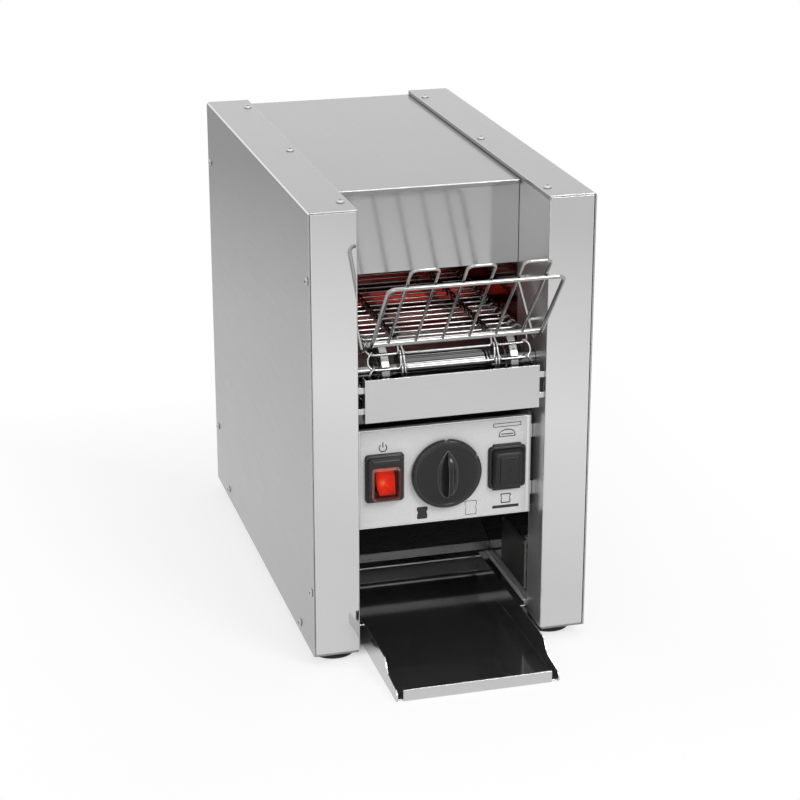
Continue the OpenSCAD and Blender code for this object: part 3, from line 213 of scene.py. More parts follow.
def grain_pattern(tree, stretch, scale, detail=4.0):
    """Noise on object coordinates, stretched along the grain."""
    place = tree.nodes.new("ShaderNodeTexCoord")
    turn = tree.nodes.new("ShaderNodeMapping")
    turn.inputs["Scale"].default_value = stretch
    noise = node(tree, "ShaderNodeTexNoise", Scale=scale, Detail=detail, Roughness=0.6)
    tree.links.new(place.outputs["Object"], turn.inputs["Vector"])
    tree.links.new(turn.outputs[0], noise.inputs["Vector"])
    return noise.outputs["Fac"]


def spread(tree, value, low, high):
    """The noise value, spread from low to high."""
    ranged = node(tree, "ShaderNodeMapRange", From_Min=NOISE_LOW, From_Max=NOISE_HIGH,
                  To_Min=low, To_Max=high)
    tree.links.new(value, ranged.inputs["Value"])
    return ranged.outputs["Result"]


def blend_colour(tree, value, dark, light):
    """A colour between dark and light by the noise value."""
    return ramp(tree, value, (NOISE_LOW, dark), (NOISE_HIGH, light))


def soft_edge_bump(tree, value, strength, edge):
    """Normals with rounded edges of that radius and a fine bump from the value."""
    bevel = tree.nodes.new("ShaderNodeBevel")
    bevel.samples = 4
    bevel.inputs["Radius"].default_value = edge
    bump = node(tree, "ShaderNodeBump", Strength=strength, Distance=BUMP_DEPTH)
    tree.links.new(bevel.outputs[0], bump.inputs["Normal"])
    tree.links.new(value, bump.inputs["Height"])
    return bump.outputs[0]


def edge_highlight_mask(tree, bumped):
    """A painted highlight mask that grows from 0 on the faces to about 0.3 along the edges."""
    rounded = bumped.node.inputs["Normal"].links[0].from_socket
    flat = tree.nodes.new("ShaderNodeNewGeometry").outputs["True Normal"]
    return maths(tree, "SUBTRACT", 1, vectors(tree, "DOT_PRODUCT", rounded, flat))


def painted_fold_highlight(tree, colour, bumped, most):
    """The colour with up to that much painted highlight added on the edges and on rounded
    folds.
    """
    facing = coordinates(tree, "Normal")
    folds = maths(tree, "MULTIPLY", maths(tree, "ABSOLUTE", facing["X"]),
                  maths(tree, "ABSOLUTE", facing["Z"]))
    folds = maths(tree, "MAXIMUM", maths(tree, "SUBTRACT", folds, 0.3), 0)
    highlight_share = maths(tree, "ADD", edge_highlight_mask(tree, bumped), folds)
    highlight_share = maths(tree, "MINIMUM", maths(tree, "MULTIPLY", highlight_share, 4 * most), most)
    return vectors(tree, "ADD", colour, highlight_share)


def painted_crevice_shade(tree, colour, reach):
    """The colour with painted shade, darkened where other surfaces stand within that reach."""
    painted_shade_ao = node(tree, "ShaderNodeAmbientOcclusion", Distance=reach)
    painted_shade_ao.samples = 8
    open_air = ramp(tree, painted_shade_ao.outputs["AO"], (0.45, 0.02), (0.98, 1.0))
    return vectors(tree, "MULTIPLY", colour, open_air)


def sooty_band(tree, colour, bottom, top):
    """The colour, darkened by heat and soot between those heights."""
    off = maths(tree, "ABSOLUTE", maths(tree, "SUBTRACT", coordinates(tree)["Z"],
                                        (bottom + top) / 2))
    outside = maths(tree, "MULTIPLY", maths(
        tree, "SUBTRACT", off, (top - bottom) / 2 - SOOT_FADE), 1 / SOOT_FADE)
    return vectors(tree, "MULTIPLY", colour, ramp(tree, outside, (0.0, SOOT), (1.0, 1.0)))


def metal(name, tone, rough, stretch=(1, 1, 1), scale=900.0, bump=0.05, edge=0.0005,
          tint=(1, 1, 1), vary=0.04, rough_vary=0.05, metallic=1.0, dull_sides=0.0,
          painted_edge_light=0.0, crevice_shade=0.0, sooty=None):
    """Bare metal of that tone: grain in its roughness and bump, faint clouds in its tone.
    Faces turned sideways can be duller, as the inside of a fold is, edges and folds lighter
    by a painted highlight, crevices of that reach darker by painted shade, and a band of
    heights darkened by heat."""
    material, tree, out = new_material(name)
    skin = node(tree, "ShaderNodeBsdfPrincipled", Metallic=metallic)
    grain = grain_pattern(tree, stretch, scale)
    clouds = grain_pattern(tree, (1, 1, 1), 9.0, 3.0)
    colour = blend_colour(tree, clouds, tuple(tone * t * (1 - vary) for t in tint),
                          tuple(min(1, tone * t * (1 + vary)) for t in tint))
    roughness = spread(tree, grain, max(0.01, rough - rough_vary), rough + rough_vary)
    if dull_sides:
        sideways = maths(tree, "ABSOLUTE", coordinates(tree, "Normal")["X"])
        dull = maths(tree, "MULTIPLY", sideways, dull_sides)
        tree.links.new(maths(tree, "SUBTRACT", metallic, dull), skin.inputs["Metallic"])
        roughness = maths(tree, "ADD", roughness, maths(tree, "MULTIPLY", dull, 1.4))
    tree.links.new(roughness, skin.inputs["Roughness"])
    bumped = soft_edge_bump(tree, grain, bump, edge)
    tree.links.new(bumped, skin.inputs["Normal"])
    if painted_edge_light:
        colour = painted_fold_highlight(tree, colour, bumped, painted_edge_light)
    if crevice_shade:
        colour = painted_crevice_shade(tree, colour, crevice_shade)
    if sooty:
        colour = sooty_band(tree, colour, *sooty)
    tree.links.new(colour, skin.inputs["Base Color"])
    tree.links.new(skin.outputs[0], out.inputs["Surface"])
    return material


def dress(finish, *names):
    """Gives solids from the frame a finish."""
    for name in names:
        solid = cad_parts[name]
        if not solid.material_slots:
            solid.data.materials.append(finish)
        for held in solid.material_slots:
            held.material = finish


# The side and top sheets get a painted highlight on their edges and folds; the top also gets
# painted shade in its crevices.
satin_side = metal("satin_side_steel", 0.395, 0.2, (1, 0.03, 1), 500, 0.008, edge=0.0009,
                   vary=0.015, rough_vary=0.03, painted_edge_light=0.5)
polished = metal("polished_steel", 0.68, 0.045, (1, 1, 0.05), 700, 0.004, vary=0.01,
                 rough_vary=0.015, dull_sides=0.18)
mirror = metal("mirror_steel", 0.5, 0.1, (0.05, 1, 1), 500, 0.004, vary=0.02, rough_vary=0.02)
inner_steel = metal("inner_wall_steel", 0.5, 0.1, (0.05, 1, 1), 500, 0.004, vary=0.02,
                    rough_vary=0.02, sooty=(0.19, 0.305))
satin_top = metal("satin_top_steel", 0.365, 0.16, (1, 0.03, 1), 500, 0.008, edge=0.0012,
                  vary=0.015, rough_vary=0.03, painted_edge_light=0.5, crevice_shade=0.004)
rear_satin = metal("rear_panel_steel", 0.48, 0.26, (0.03, 1, 1), 500, 0.01, vary=0.015)
dress(satin_side, "side_cover_left", "side_cover_right")
dress(polished, "front_column_left", "front_column_right")
dress(satin_top, "top_panel")
dress(mirror, "front_plate")
dress(inner_steel, "inner_wall_left", "inner_wall_right")
dress(rear_satin, "rear_panel")

# ---- Base plate and chassis -------------------------------------------------------------
# Zinc-coated sheet with the coating's faint spangle; carries the bushes and tubes. The
# covers are screwed to its flanges.
zinc = metal("zinc_sheet", 0.3, 0.42, (1, 1, 1), 120, 0.03, vary=0.12)
dress(zinc, "base_plate", "chassis_left", "chassis_right")

# ---- Feet and screws --------------------------------------------------------------------
# Turned black rubber buffers with a rounded foot and a waist, each held by a screw from
# below. Domed stainless screws with a hexagon recess hold the covers.
FRONT_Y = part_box("front_column_left")[0][1]
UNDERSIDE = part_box("base_plate")[0][2]


def at(x, y, z):
    """A place in mm from the middle plane, the column faces and the body's underside."""
    return Vector((x / 1000, FRONT_Y + y / 1000, UNDERSIDE + z / 1000))


def finish_piece(name, shape, finishes, body, slot, *nodes, sharp=35):
    """Makes a piece of a bmesh, with its finishes, body and the nodes it stands for; the slot
    is not used.
    """
    bmesh.ops.remove_doubles(shape, verts=shape.verts, dist=2e-6)
    bmesh.ops.recalc_face_normals(shape, faces=shape.faces)
    mesh = bpy.data.meshes.new(name)
    shape.to_mesh(mesh)
    shape.free()
    finish_mesh(name, mesh, finishes, body, slot, *nodes, sharp=sharp)


def finish_mesh(name, mesh, finishes, body, slot, *nodes, sharp=35):
    """Makes a piece of a mesh, as finish_piece does, with edges over that angle left sharp."""
    mesh.materials.clear()
    for finish in finishes:
        mesh.materials.append(finish)
    mesh.shade_smooth()
    mesh.set_sharp_from_angle(angle=math.radians(sharp))
    piece = bpy.data.objects.new(name, mesh)
    scene.collection.objects.link(piece)
    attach(piece, body)
    if nodes:
        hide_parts(*nodes)


def ring(shape, centre, right, up, radius, sides):
    """Vertices on a circle."""
    return [shape.verts.new(centre + radius * (math.cos(a) * right + math.sin(a) * up))
            for a in (2 * math.pi * i / sides for i in range(sides))]


def skin_rings(shape, rings, mark=0, caps=True):
    """Faces from ring to ring, and over both ends."""
    for near, far in zip(rings, rings[1:]):
        count = len(near)
        for i in range(count):
            j = (i + 1) % count
            shape.faces.new((near[i], near[j], far[j], far[i])).material_index = mark
    if caps:
        shape.faces.new(list(reversed(rings[0]))).material_index = mark
        shape.faces.new(rings[-1]).material_index = mark


def rubber(name, tone, rough, gloss=0.35, edge=0.0006, painted_edge_light=0.0):
    """Rubber, plastic or ceramic of that tone with a fine grained skin, and, if asked, a
    painted highlight along its edges.
    """
    material, tree, out = new_material(name)
    tones = tone if isinstance(tone, tuple) else (tone,) * 3
    skin = node(tree, "ShaderNodeBsdfPrincipled", Specular_IOR_Level=gloss)
    fine = grain_pattern(tree, (1, 1, 1), 2200.0)
    colour = blend_colour(tree, fine, tuple(t * 0.85 for t in tones),
                          tuple(min(1, t * 1.2) for t in tones))
    tree.links.new(spread(tree, fine, max(0.02, rough - 0.05), rough + 0.05),
                   skin.inputs["Roughness"])
    bumped = soft_edge_bump(tree, fine, 0.12, edge)
    tree.links.new(bumped, skin.inputs["Normal"])
    if painted_edge_light:
        colour = vectors(tree, "ADD", colour, maths(tree, "MULTIPLY", edge_highlight_mask(
            tree, bumped), painted_edge_light))
    tree.links.new(colour, skin.inputs["Base Color"])
    tree.links.new(skin.outputs[0], out.inputs["Surface"])
    return material


X, Y, Z = Vector((1, 0, 0)), Vector((0, 1, 0)), Vector((0, 0, 1))
FOOT_HEIGHT = 10
FOOT_SPOTS = [(x, y) for x in (-97, 97) for y in (30, 390)]
# Height from the counter and radius, round the section from the screw's recess
FOOT_PROFILE = [(4.6, 3.2), (4.6, 6.2), (0.3, 6.4), (0, 7.2), (0, 17.6), (0.4, 18.6),
                (1.4, 19), (2.6, 18.7), (3.4, 17.7), (6.2, 17.2), (7.2, 17.6), (9.6, 17.5),
                (10, 17.1), (10, 3.2)]
black_rubber = rubber("black_rubber", 0.022, 0.6)
feet = bmesh.new()
for x, y in FOOT_SPOTS:
    rings = [ring(feet, at(x, y, up - FOOT_HEIGHT), X, Y, radius / 1000, 56)
             for up, radius in FOOT_PROFILE]
    skin_rings(feet, rings + rings[:1], caps=False)
finish_piece("feet_rubber", feet, [black_rubber], "frame", "black_rubber", "feet")
# The screws get painted shade in their recesses and round their domes.
plain_screw = metal("screw_steel", 0.55, 0.12, (1, 1, 1), 600, 0.01, crevice_shade=0.004)
dress(plain_screw, "foot_screws", "side_screws_left", "side_screws_right", "top_screws")

# ---- Toasting chamber -------------------------------------------------------------------
# Bright steel reflectors above and below the belt, tinted by heat, with an insulating
# blanket over the upper one. They rest on the inner walls.
heat_steel = metal("heat_tinted_steel", 0.21, 0.3, (0.06, 1, 1), 400, 0.03,
                   tint=(1.0, 0.96, 0.93), vary=0.15, metallic=0.6)
dress(heat_steel, "upper_reflector", "lower_reflector", "belt_rails")
blanket = rubber("ceramic_fibre", (0.72, 0.7, 0.64), 0.9, gloss=0.1)
dress(blanket, "insulation_blanket")

# ---- Heating tubes ----------------------------------------------------------------------
# Quartz tubes across the chamber with a coil of resistance wire glowing inside, standing in
# glazed ceramic ends outside the walls. The lower bank is the hotter one.
ceramic = rubber("glazed_ceramic", (0.76, 0.73, 0.67), 0.25, gloss=0.5)
dress(ceramic, "ceramic_tube_ends")
TUBE_ROWS = (85, 143, 201, 259)
LOWER_TUBES_Z, UPPER_TUBES_Z = 246, 322.26
TUBE_HALF, QUARTZ_R, QUARTZ_WALL = 96, 5, 1
COIL_HALF, COIL_R, COIL_WIRE_R = 88, 2.5, 0.8
COIL_STEP, COIL_SIDES = 3.2, 8
# In metres: the row that glows most, where the glow ends along a tube, and how fast it fades
HOTTEST_Y, HOT_HALF = at(0, 194, 0).y, 0.058
FADE_BY_ROW, FADE_BY_END = 17, 45
LEAST_BY_ROW, LEAST_BY_END = 0.15, 0.1


def heat_along(tree, strength):
    """A glow of that strength at the chamber's hottest row, less at the cold tube ends."""
    here = coordinates(tree)
    off = maths(tree, "ABSOLUTE", maths(tree, "SUBTRACT", here["Y"], HOTTEST_Y))
    by_row = maths(tree, "SUBTRACT", 1, maths(tree, "MULTIPLY", off, FADE_BY_ROW))
    beyond = maths(tree, "SUBTRACT", maths(tree, "ABSOLUTE", here["X"]), HOT_HALF)
    by_end = maths(tree, "SUBTRACT", 1, maths(
        tree, "MULTIPLY", maths(tree, "MAXIMUM", beyond, 0), FADE_BY_END))
    share = maths(tree, "MULTIPLY", maths(tree, "MAXIMUM", by_row, LEAST_BY_ROW),
                  maths(tree, "MAXIMUM", by_end, LEAST_BY_END))
    return maths(tree, "MULTIPLY", share, strength)


def glowing(name, dark, light, strength):
    """A surface that glows between two reds."""
    material, tree, out = new_material(name)
    skin = node(tree, "ShaderNodeBsdfPrincipled", Roughness=0.3)
    tree.links.new(heat_along(tree, strength), skin.inputs["Emission Strength"])
    bands = grain_pattern(tree, (1, 0.1, 0.1), 300.0, 1.0)
    colour = blend_colour(tree, bands, dark, light)
    tree.links.new(colour, skin.inputs["Base Color"])
    tree.links.new(colour, skin.inputs["Emission Color"])
    tree.links.new(skin.outputs[0], out.inputs["Surface"])
    return material


def quartz(name, tint, glow):
    """Smoked quartz: clear with milky streaks, with a painted glow for its coil's light in the
    glass.
    """
    material, tree, out = new_material(name)
    skin = node(tree, "ShaderNodeBsdfPrincipled", Roughness=0.08, IOR=1.2)
    skin.inputs["Transmission Weight"].default_value = 0.85
    tree.links.new(heat_along(tree, glow), skin.inputs["Emission Strength"])
    streaks = grain_pattern(tree, (0.15, 1, 1), 350.0, 2.0)
    tree.links.new(blend_colour(tree, streaks, tuple(t * 0.75 for t in tint), tint),
                   skin.inputs["Base Color"])
    tree.links.new(blend_colour(tree, streaks, (0.5, 0.01, 0.004), (0.9, 0.05, 0.02)),
                   skin.inputs["Emission Color"])
    tree.links.new(skin.outputs[0], out.inputs["Surface"])
    return material


def wire_along(shape, path, radius, sides=10, mark=0, domes=2):
    """A round wire swept along a path of places, with domed ends inside its length."""
    first, last = (path[1] - path[0]).normalized(), (path[-1] - path[-2]).normalized()
    right = first.orthogonal().normalized()
    dome = [(radius * (1 - math.cos(a)), math.sin(a)) for a in (
        math.pi / 2 * (i + 0.4) / (domes + 0.4) for i in range(domes))]
    inset = radius if domes else 0
    stations = [(path[0] + first * along, share) for along, share in dome]
    stations += [(place, 1) for place in (
        path[0] + first * inset, *path[1:-1], path[-1] - last * inset)]
    stations += [(path[-1] - last * along, share) for along, share in reversed(dome)]
    rings = []
    for i, (place, share) in enumerate(stations):
        after = stations[min(i + 1, len(stations) - 1)][0]
        before = stations[max(i - 1, 0)][0]
        way = (after - before).normalized()
        right = (right - way * right.dot(way)).normalized()
        rings.append(ring(shape, place, right, way.cross(right), radius * share, sides))
    skin_rings(shape, rings, mark)


def tube_bank(name, height, coil_glow, sleeve, slot, node_name):
    """The tubes of one bank at that height, each with its coil."""
    bank = bmesh.new()
    for y in TUBE_ROWS:
        bore = QUARTZ_R - QUARTZ_WALL
        rings = [ring(bank, at(x, y, height), Y, Z, radius / 1000, 24) for x, radius in (
            (-TUBE_HALF, bore), (-TUBE_HALF, QUARTZ_R), (TUBE_HALF, QUARTZ_R),
            (TUBE_HALF, bore))]
        skin_rings(bank, rings + rings[:1], caps=False)
        coil = []
        for i in range(int(COIL_SIDES * 2 * COIL_HALF / COIL_STEP) + 1):
            turn = 2 * math.pi * i / COIL_SIDES
            coil.append(at(COIL_STEP * i / COIL_SIDES - COIL_HALF,
                           y + COIL_R * math.cos(turn), height + COIL_R * math.sin(turn)))
        wire_along(bank, coil, COIL_WIRE_R / 1000, sides=5, mark=1, domes=0)
    finish_piece(name, bank, [sleeve, coil_glow], "frame", slot, node_name)


hot_coil = glowing("hot_coil", (0.9, 0.03, 0.01), (1.0, 0.16, 0.06), 1.5)
hot_quartz = quartz("hot_quartz", (0.92, 0.8, 0.78), 0.12)
warm_coil = glowing("warm_coil", (0.6, 0.02, 0.008), (0.9, 0.06, 0.02), 0.5)
warm_quartz = quartz("warm_quartz", (0.9, 0.78, 0.75), 0.02)
tube_bank("lower_quartz_tubes", LOWER_TUBES_Z, hot_coil, hot_quartz, "quartz_tube_lit",
          "lower_heating_tubes")
tube_bank("upper_quartz_tubes", UPPER_TUBES_Z, warm_coil, warm_quartz, "quartz_tube",
          "upper_heating_tubes")

# ---- Conveyor belt ----------------------------------------------------------------------
# Flat wire belt of bright stainless strands, 12.7 mm apart. Each strand has two narrow hooks
# and two edge loops bent over the next strand, which it pulls along. It runs over two
# sprocketed shafts and rests on two rails.
BELT_Y, BELT_Z = 31, 239
BELT_PITCH, BELT_SPANS, BELT_TEETH = 12.7, 24, 12
BELT_R = BELT_TEETH * BELT_PITCH / (2 * math.pi)
BELT_PHASE = math.radians(10)
STRAND_R = 0.95
HOOK_X = 40
# The bends of a hook's half and of an edge loop: across, along the belt, above it
HOOK = ((-3.3, 0, 0), (-2.6, 1.2, 0.25), (-1.7, 3.6, 0.7), (-1.3, 9, 1.75),
        (-1.25, 12.4, 2.05), (-1.2, 14.2, 1.4), (-1.0, 14.75, 0), (-0.8, 14.5, -1.2))
EDGE_LOOP = ((61.5, 0, 0), (64.5, 0.2, 0.1), (67.4, 1.5, 0.3), (69.3, 4.4, 0.8),
             (69.4, 8, 1.5), (68.4, 11, 2.1), (66.6, 13, 2.2), (65.2, 14.4, 1.2),
             (64.2, 14.7, -0.3), (63.6, 13.6, -1.7), (63.4, 12.4, -2.0))
bright_wire = metal("bright_stainless_wire", 0.44, 0.12, (1, 1, 1), 300, 0.01,
                    rough_vary=0.03)


def strand_path():
    """The bends of a strand, from edge loop to edge loop."""
    outward = [(HOOK_X + x, t, n) for x, t, n in HOOK]
    outward += [(HOOK_X - x, t, n) for x, t, n in reversed(HOOK)]
    outward += EDGE_LOOP
    inward = [(-x, t, n) for x, t, n in reversed(outward)]
    return [Vector(p) / 1000 for p in inward + outward]


def softened(path, cut=0.0009):
    """The path with its corners cut by that length, or by a quarter of a short run."""
    eased = [path[0]]
    for a, b in zip(path, path[1:]):
        reach = min(0.25, cut / max((b - a).length, 1e-6))
        eased += [a.lerp(b, reach), b.lerp(a, reach)]
    return eased + [path[-1]]


def belt_place(s):
    """Place (y, z) in mm at length s round the belt, from the front shaft's top."""
    span, half = BELT_PITCH * BELT_SPANS, math.pi * BELT_R
    u = s % (2 * (span + half))
    if u < span:
        return u, BELT_R
    if u < span + half:
        a = (u - span) / BELT_R
        return span + BELT_R * math.sin(a), BELT_R * math.cos(a)
    if u < 2 * span + half:
        return 2 * span + half - u, -BELT_R
    a = (u - 2 * span - half) / BELT_R
    return -BELT_R * math.sin(a), -BELT_R * math.cos(a)


def group_socket(group, name, kind, direction="INPUT"):
    """A named input or output of a node group."""
    return group.interface.new_socket(name=name, in_out=direction, socket_type=kind)


def repeated(name, part, places, turns, finish, body, slot, *nodes, sharp=35):
    """One piece of many equal parts, set by Geometry Nodes at places with turns."""
    group = bpy.data.node_groups.new("set_" + name, "GeometryNodeTree")
    group_socket(group, "Places", "NodeSocketGeometry")
    part_in = group_socket(group, "Part", "NodeSocketObject")
    finish_in = group_socket(group, "Finish", "NodeSocketMaterial")
    group_socket(group, "Set", "NodeSocketGeometry", "OUTPUT")
    start, end = group.nodes.new("NodeGroupInput"), group.nodes.new("NodeGroupOutput")
    info = group.nodes.new("GeometryNodeObjectInfo")
    turn = group.nodes.new("GeometryNodeInputNamedAttribute")
    turn.data_type = "FLOAT_VECTOR"
    turn.inputs["Name"].default_value = "turn"
    setter = group.nodes.new("GeometryNodeInstanceOnPoints")
    real = group.nodes.new("GeometryNodeRealizeInstances")
    paint = group.nodes.new("GeometryNodeSetMaterial")
    group.links.new(start.outputs["Places"], setter.inputs["Points"])
    group.links.new(start.outputs["Part"], info.inputs["Object"])
    group.links.new(info.outputs["Geometry"], setter.inputs["Instance"])
    group.links.new(turn.outputs["Attribute"], setter.inputs["Rotation"])
    group.links.new(setter.outputs[0], real.inputs[0])
    group.links.new(real.outputs[0], paint.inputs["Geometry"])
    group.links.new(start.outputs["Finish"], paint.inputs["Material"])
    group.links.new(paint.outputs[0], end.inputs[0])

    dots = bpy.data.meshes.new(name + "_places")
    dots.from_pydata([tuple(p) for p in places], [], [])
    held = dots.attributes.new("turn", "FLOAT_VECTOR", "POINT")
    for i, angles in enumerate(turns):
        held.data[i].vector = angles
    carrier = bpy.data.objects.new(name + "_places", dots)
    scene.collection.objects.link(carrier)
    source = bpy.data.objects.new(name + "_part", part)
    scene.collection.objects.link(source)
    modifier = carrier.modifiers.new("set", "NODES")
    modifier.node_group = group
    modifier[part_in.identifier] = source
    modifier[finish_in.identifier] = finish
    view = bpy.context.evaluated_depsgraph_get()
    view.update()
    mesh = bpy.data.meshes.new_from_object(carrier.evaluated_get(view))
    carrier.modifiers.remove(modifier)
    for spent in (carrier, source):
        bpy.data.objects.remove(spent)
    mesh.name = name
    for attribute in [a for a in mesh.attributes if a.name == "turn"]:
        mesh.attributes.remove(attribute)
    finish_mesh(name, mesh, [finish], body, slot, *nodes, sharp=sharp)


strand = bmesh.new()
wire_along(strand, softened(strand_path()), STRAND_R / 1000, sides=8, domes=1)
bmesh.ops.recalc_face_normals(strand, faces=strand.faces)
strand_mesh = bpy.data.meshes.new("strand")
strand.to_mesh(strand_mesh)
strand.free()
belt_places, belt_turns = [], []
for i in range(2 * BELT_SPANS + BELT_TEETH):
    here = belt_place(i * BELT_PITCH - BELT_R * BELT_PHASE)
    ahead = belt_place((i + 1) * BELT_PITCH - BELT_R * BELT_PHASE)
    belt_places.append(at(0, BELT_Y + here[0], BELT_Z + here[1]))
    belt_turns.append((math.atan2(ahead[1] - here[1], ahead[0] - here[0]), 0, 0))
repeated("wire_belt", strand_mesh, belt_places, belt_turns, bright_wire, "frame",
         "chrome_wire", "conveyor_belt", sharp=60)

# ---- Shafts, sprockets and roller -------------------------------------------------------
# Ground steel shafts in sintered bronze bushes. Two twelve-toothed sprockets on each carry
# the belt's strands in their notches; a polished roller fills the front shaft between them.
SPROCKET_X = 55
NOTCH_PLAY, TOOTH_RISE = 0.35, 0.9
# Across the width, inset of the teeth, radius or 0 for the teeth: one side of the section
SPROCKET_SIDE = ((-3.5, 0, 5.1), (-3.5, 0, 11), (-2.6, 0, 12), (-2.6, 0, 18.5),
                 (-3.5, 0, 19.5), (-3.5, 0.5, 0), (-3.0, 0, 0))
BELT_REAR_Y = BELT_Y + BELT_PITCH * BELT_SPANS
ground_shaft = metal("ground_shaft", 0.3, 0.2, (0.1, 1, 1), 800, 0.03)
cut_steel = metal("bright_sprocket_steel", 0.3, 0.25, (1, 1, 1), 500, 0.03)
bronze = metal("oiled_bronze", 0.6, 0.35, (1, 1, 1), 700, 0.08, tint=(1, 0.72, 0.4))
# Dark steel: real on the oiled chain, painted shade on the crumb tray.
dark_steel_and_shade = metal("dark_coated_steel_and_painted_shade", 0.18, 0.38, (1, 1, 1), 500, 0.05, metallic=0.5)
roller_steel = metal("roller_steel", 0.12, 0.05, (1, 0.1, 0.1), 400, 0.01, rough_vary=0.02)
dress(ground_shaft, "front_shaft", "rear_shaft", "knob_spindle")
dress(bronze, "shaft_bushes")
dress(roller_steel, "front_roller")


def tooth_outline(inset):
    """(angle, radius) round a sprocket: broad teeth, a round notch under each strand."""
    outline = []
    notch, tip = STRAND_R + NOTCH_PLAY + inset, BELT_R + TOOTH_RISE - inset
    step, edge = 2 * math.pi / BELT_TEETH, notch / BELT_R
    for tooth in range(BELT_TEETH):
        middle = tooth * step
        for share in (-1, -0.72, -0.3, 0.3, 0.72, 1):
            reach = share * edge
            drop = math.sqrt(max(0, notch ** 2 - (reach * BELT_R) ** 2))
            outline.append((middle + reach, BELT_R - drop))
        for share in (0.03, 0.25, 0.5, 0.75, 0.97):
            outline.append((middle + edge + share * (step - 2 * edge), tip))
    return outline


def sprocket_pair(name, centre_y, body, node_name):
    """Both sprockets of a shaft."""
    section = SPROCKET_SIDE + tuple((-x, inset, radius)
                                    for x, inset, radius in reversed(SPROCKET_SIDE))
    pair = bmesh.new()
    for side in (-1, 1):
        rings = []
        for x, inset, radius in section:
            places = []
            for angle, reach in tooth_outline(inset):
                a, r = angle + BELT_PHASE, radius or reach
                places.append(pair.verts.new(at(
                    side * SPROCKET_X + x, centre_y - r * math.sin(a),
                    BELT_Z + r * math.cos(a))))
            rings.append(places)
        skin_rings(pair, rings + rings[:1], caps=False)
    finish_piece(name, pair, [cut_steel], body, "sprocket_steel", node_name)


sprocket_pair("front_sprocket_pair", BELT_Y, "front_idler", "front_sprockets")
sprocket_pair("rear_sprocket_pair", BELT_REAR_Y, "rear_drive", "rear_sprockets")

# ---- Chain drive ------------------------------------------------------------------------
# An oiled roller chain from the painted gear motor on the right to the rear belt shaft.
dress(dark_steel_and_shade, "drive_chain", "chain_wheel", "motor_chain_wheel")
motor_paint = rubber("motor_grey_paint", (0.16, 0.17, 0.19), 0.4, gloss=0.5)
dress(motor_paint, "gear_motor")

# ---- Loading rack -----------------------------------------------------------------------
# Bright chromed wire, spot welded: a thick bar over the belt's front, three hoops and an
# outer rail that lean forwards, and two arms bent back to pivots in the throat walls.
BAR_Y, BAR_Z, BAR_HALF, BAR_R = -5, 274, 73.8, 2.5
LEAN = math.radians(40.6)
HOOPS, HOOP_HALF, HOOP_LENGTH, HOOP_R = (-45.2, 0, 45.2), 11.3, 106.5, 1.3
RAIL_HALF, RAIL_UP, RAIL_OUT, RAIL_R = 71.5, 86, 3.1, 1.75
ARM_X, ARM_END, ARM_R = 73.2, 81.2, 1.5
ARM_ELBOW, PIVOT = (14, 262), (58, 301)
chrome = metal("chromed_wire", 0.38, 0.08, (1, 1, 1), 300, 0.008, rough_vary=0.02)


def rack_at(x, up, out=0):
    """A place on the leaning rack: up along it, out in front of it, in mm from the bar."""
    return at(x, BAR_Y - up * math.sin(LEAN) - out * math.cos(LEAN),
              BAR_Z + up * math.cos(LEAN) - out * math.sin(LEAN))


def bent(corners, radius, steps=7):
    """The corners joined by straight runs, with arcs of that radius in mm at the bends."""
    radius /= 1000
    path = [corners[0]]
    for before, corner, after in zip(corners, corners[1:], corners[2:]):
        a, b = (before - corner).normalized(), (after - corner).normalized()
        half = a.angle(b) / 2
        start = corner + a * radius / math.tan(half)
        centre = corner + (a + b).normalized() * radius / math.sin(half)
        axis = (start - centre).cross(corner - centre).normalized()
        turn = math.pi - 2 * half
        path += [centre + Matrix.Rotation(turn * i / steps, 3, axis) @ (start - centre)
                 for i in range(steps + 1)]
    return path + [corners[-1]]


rack = bmesh.new()
wire_along(rack, [at(x, BAR_Y, BAR_Z) for x in (-BAR_HALF, -70, 70, BAR_HALF)], BAR_R / 1000,
           sides=20, domes=3)
for middle in HOOPS:
    left, right = middle - HOOP_HALF, middle + HOOP_HALF
    wire_along(rack, bent([rack_at(left, 0.6), rack_at(left, HOOP_LENGTH),
                           rack_at(right, HOOP_LENGTH), rack_at(right, 0.6)], 5),
               HOOP_R / 1000, sides=12)
wire_along(rack, bent([rack_at(x, up, RAIL_OUT) for x, up in (
    (-RAIL_HALF, 1), (-RAIL_HALF, RAIL_UP), (RAIL_HALF, RAIL_UP), (RAIL_HALF, 1))], 6),
           RAIL_R / 1000, sides=14)
for side in (-1, 1):
    wire_along(rack, bent([at(side * ARM_X, BAR_Y, BAR_Z), at(side * ARM_X, *ARM_ELBOW),
                           at(side * ARM_X, *PIVOT), at(side * ARM_END, *PIVOT)], 4),
               ARM_R / 1000, sides=12)
finish_piece("wire_rack", rack, [chrome], "rack", "chrome_wire", "loading_rack", sharp=60)

# ---- Guard plate and crumb tray ---------------------------------------------------------
# The guard is a folded satin sheet hung by four lugs in the column slots, in front of the
# belt's nose. The crumb tray slides on two angles under the belt; its dark coat is painted
# shade, for the shadow it lies in.
guard_steel = metal("satin_guard_steel", 0.57, 0.14, (0.05, 1, 1), 700, 0.008, vary=0.01)
dress(guard_steel, "guard_plate")
dress(dark_steel_and_shade, "crumb_tray")
tray_steel = metal("tray_steel", 0.64, 0.1, (0.05, 1, 1), 700, 0.004, vary=0.01,
                   rough_vary=0.02, metallic=0.97)
dress(tray_steel, "crumb_tray_runners")

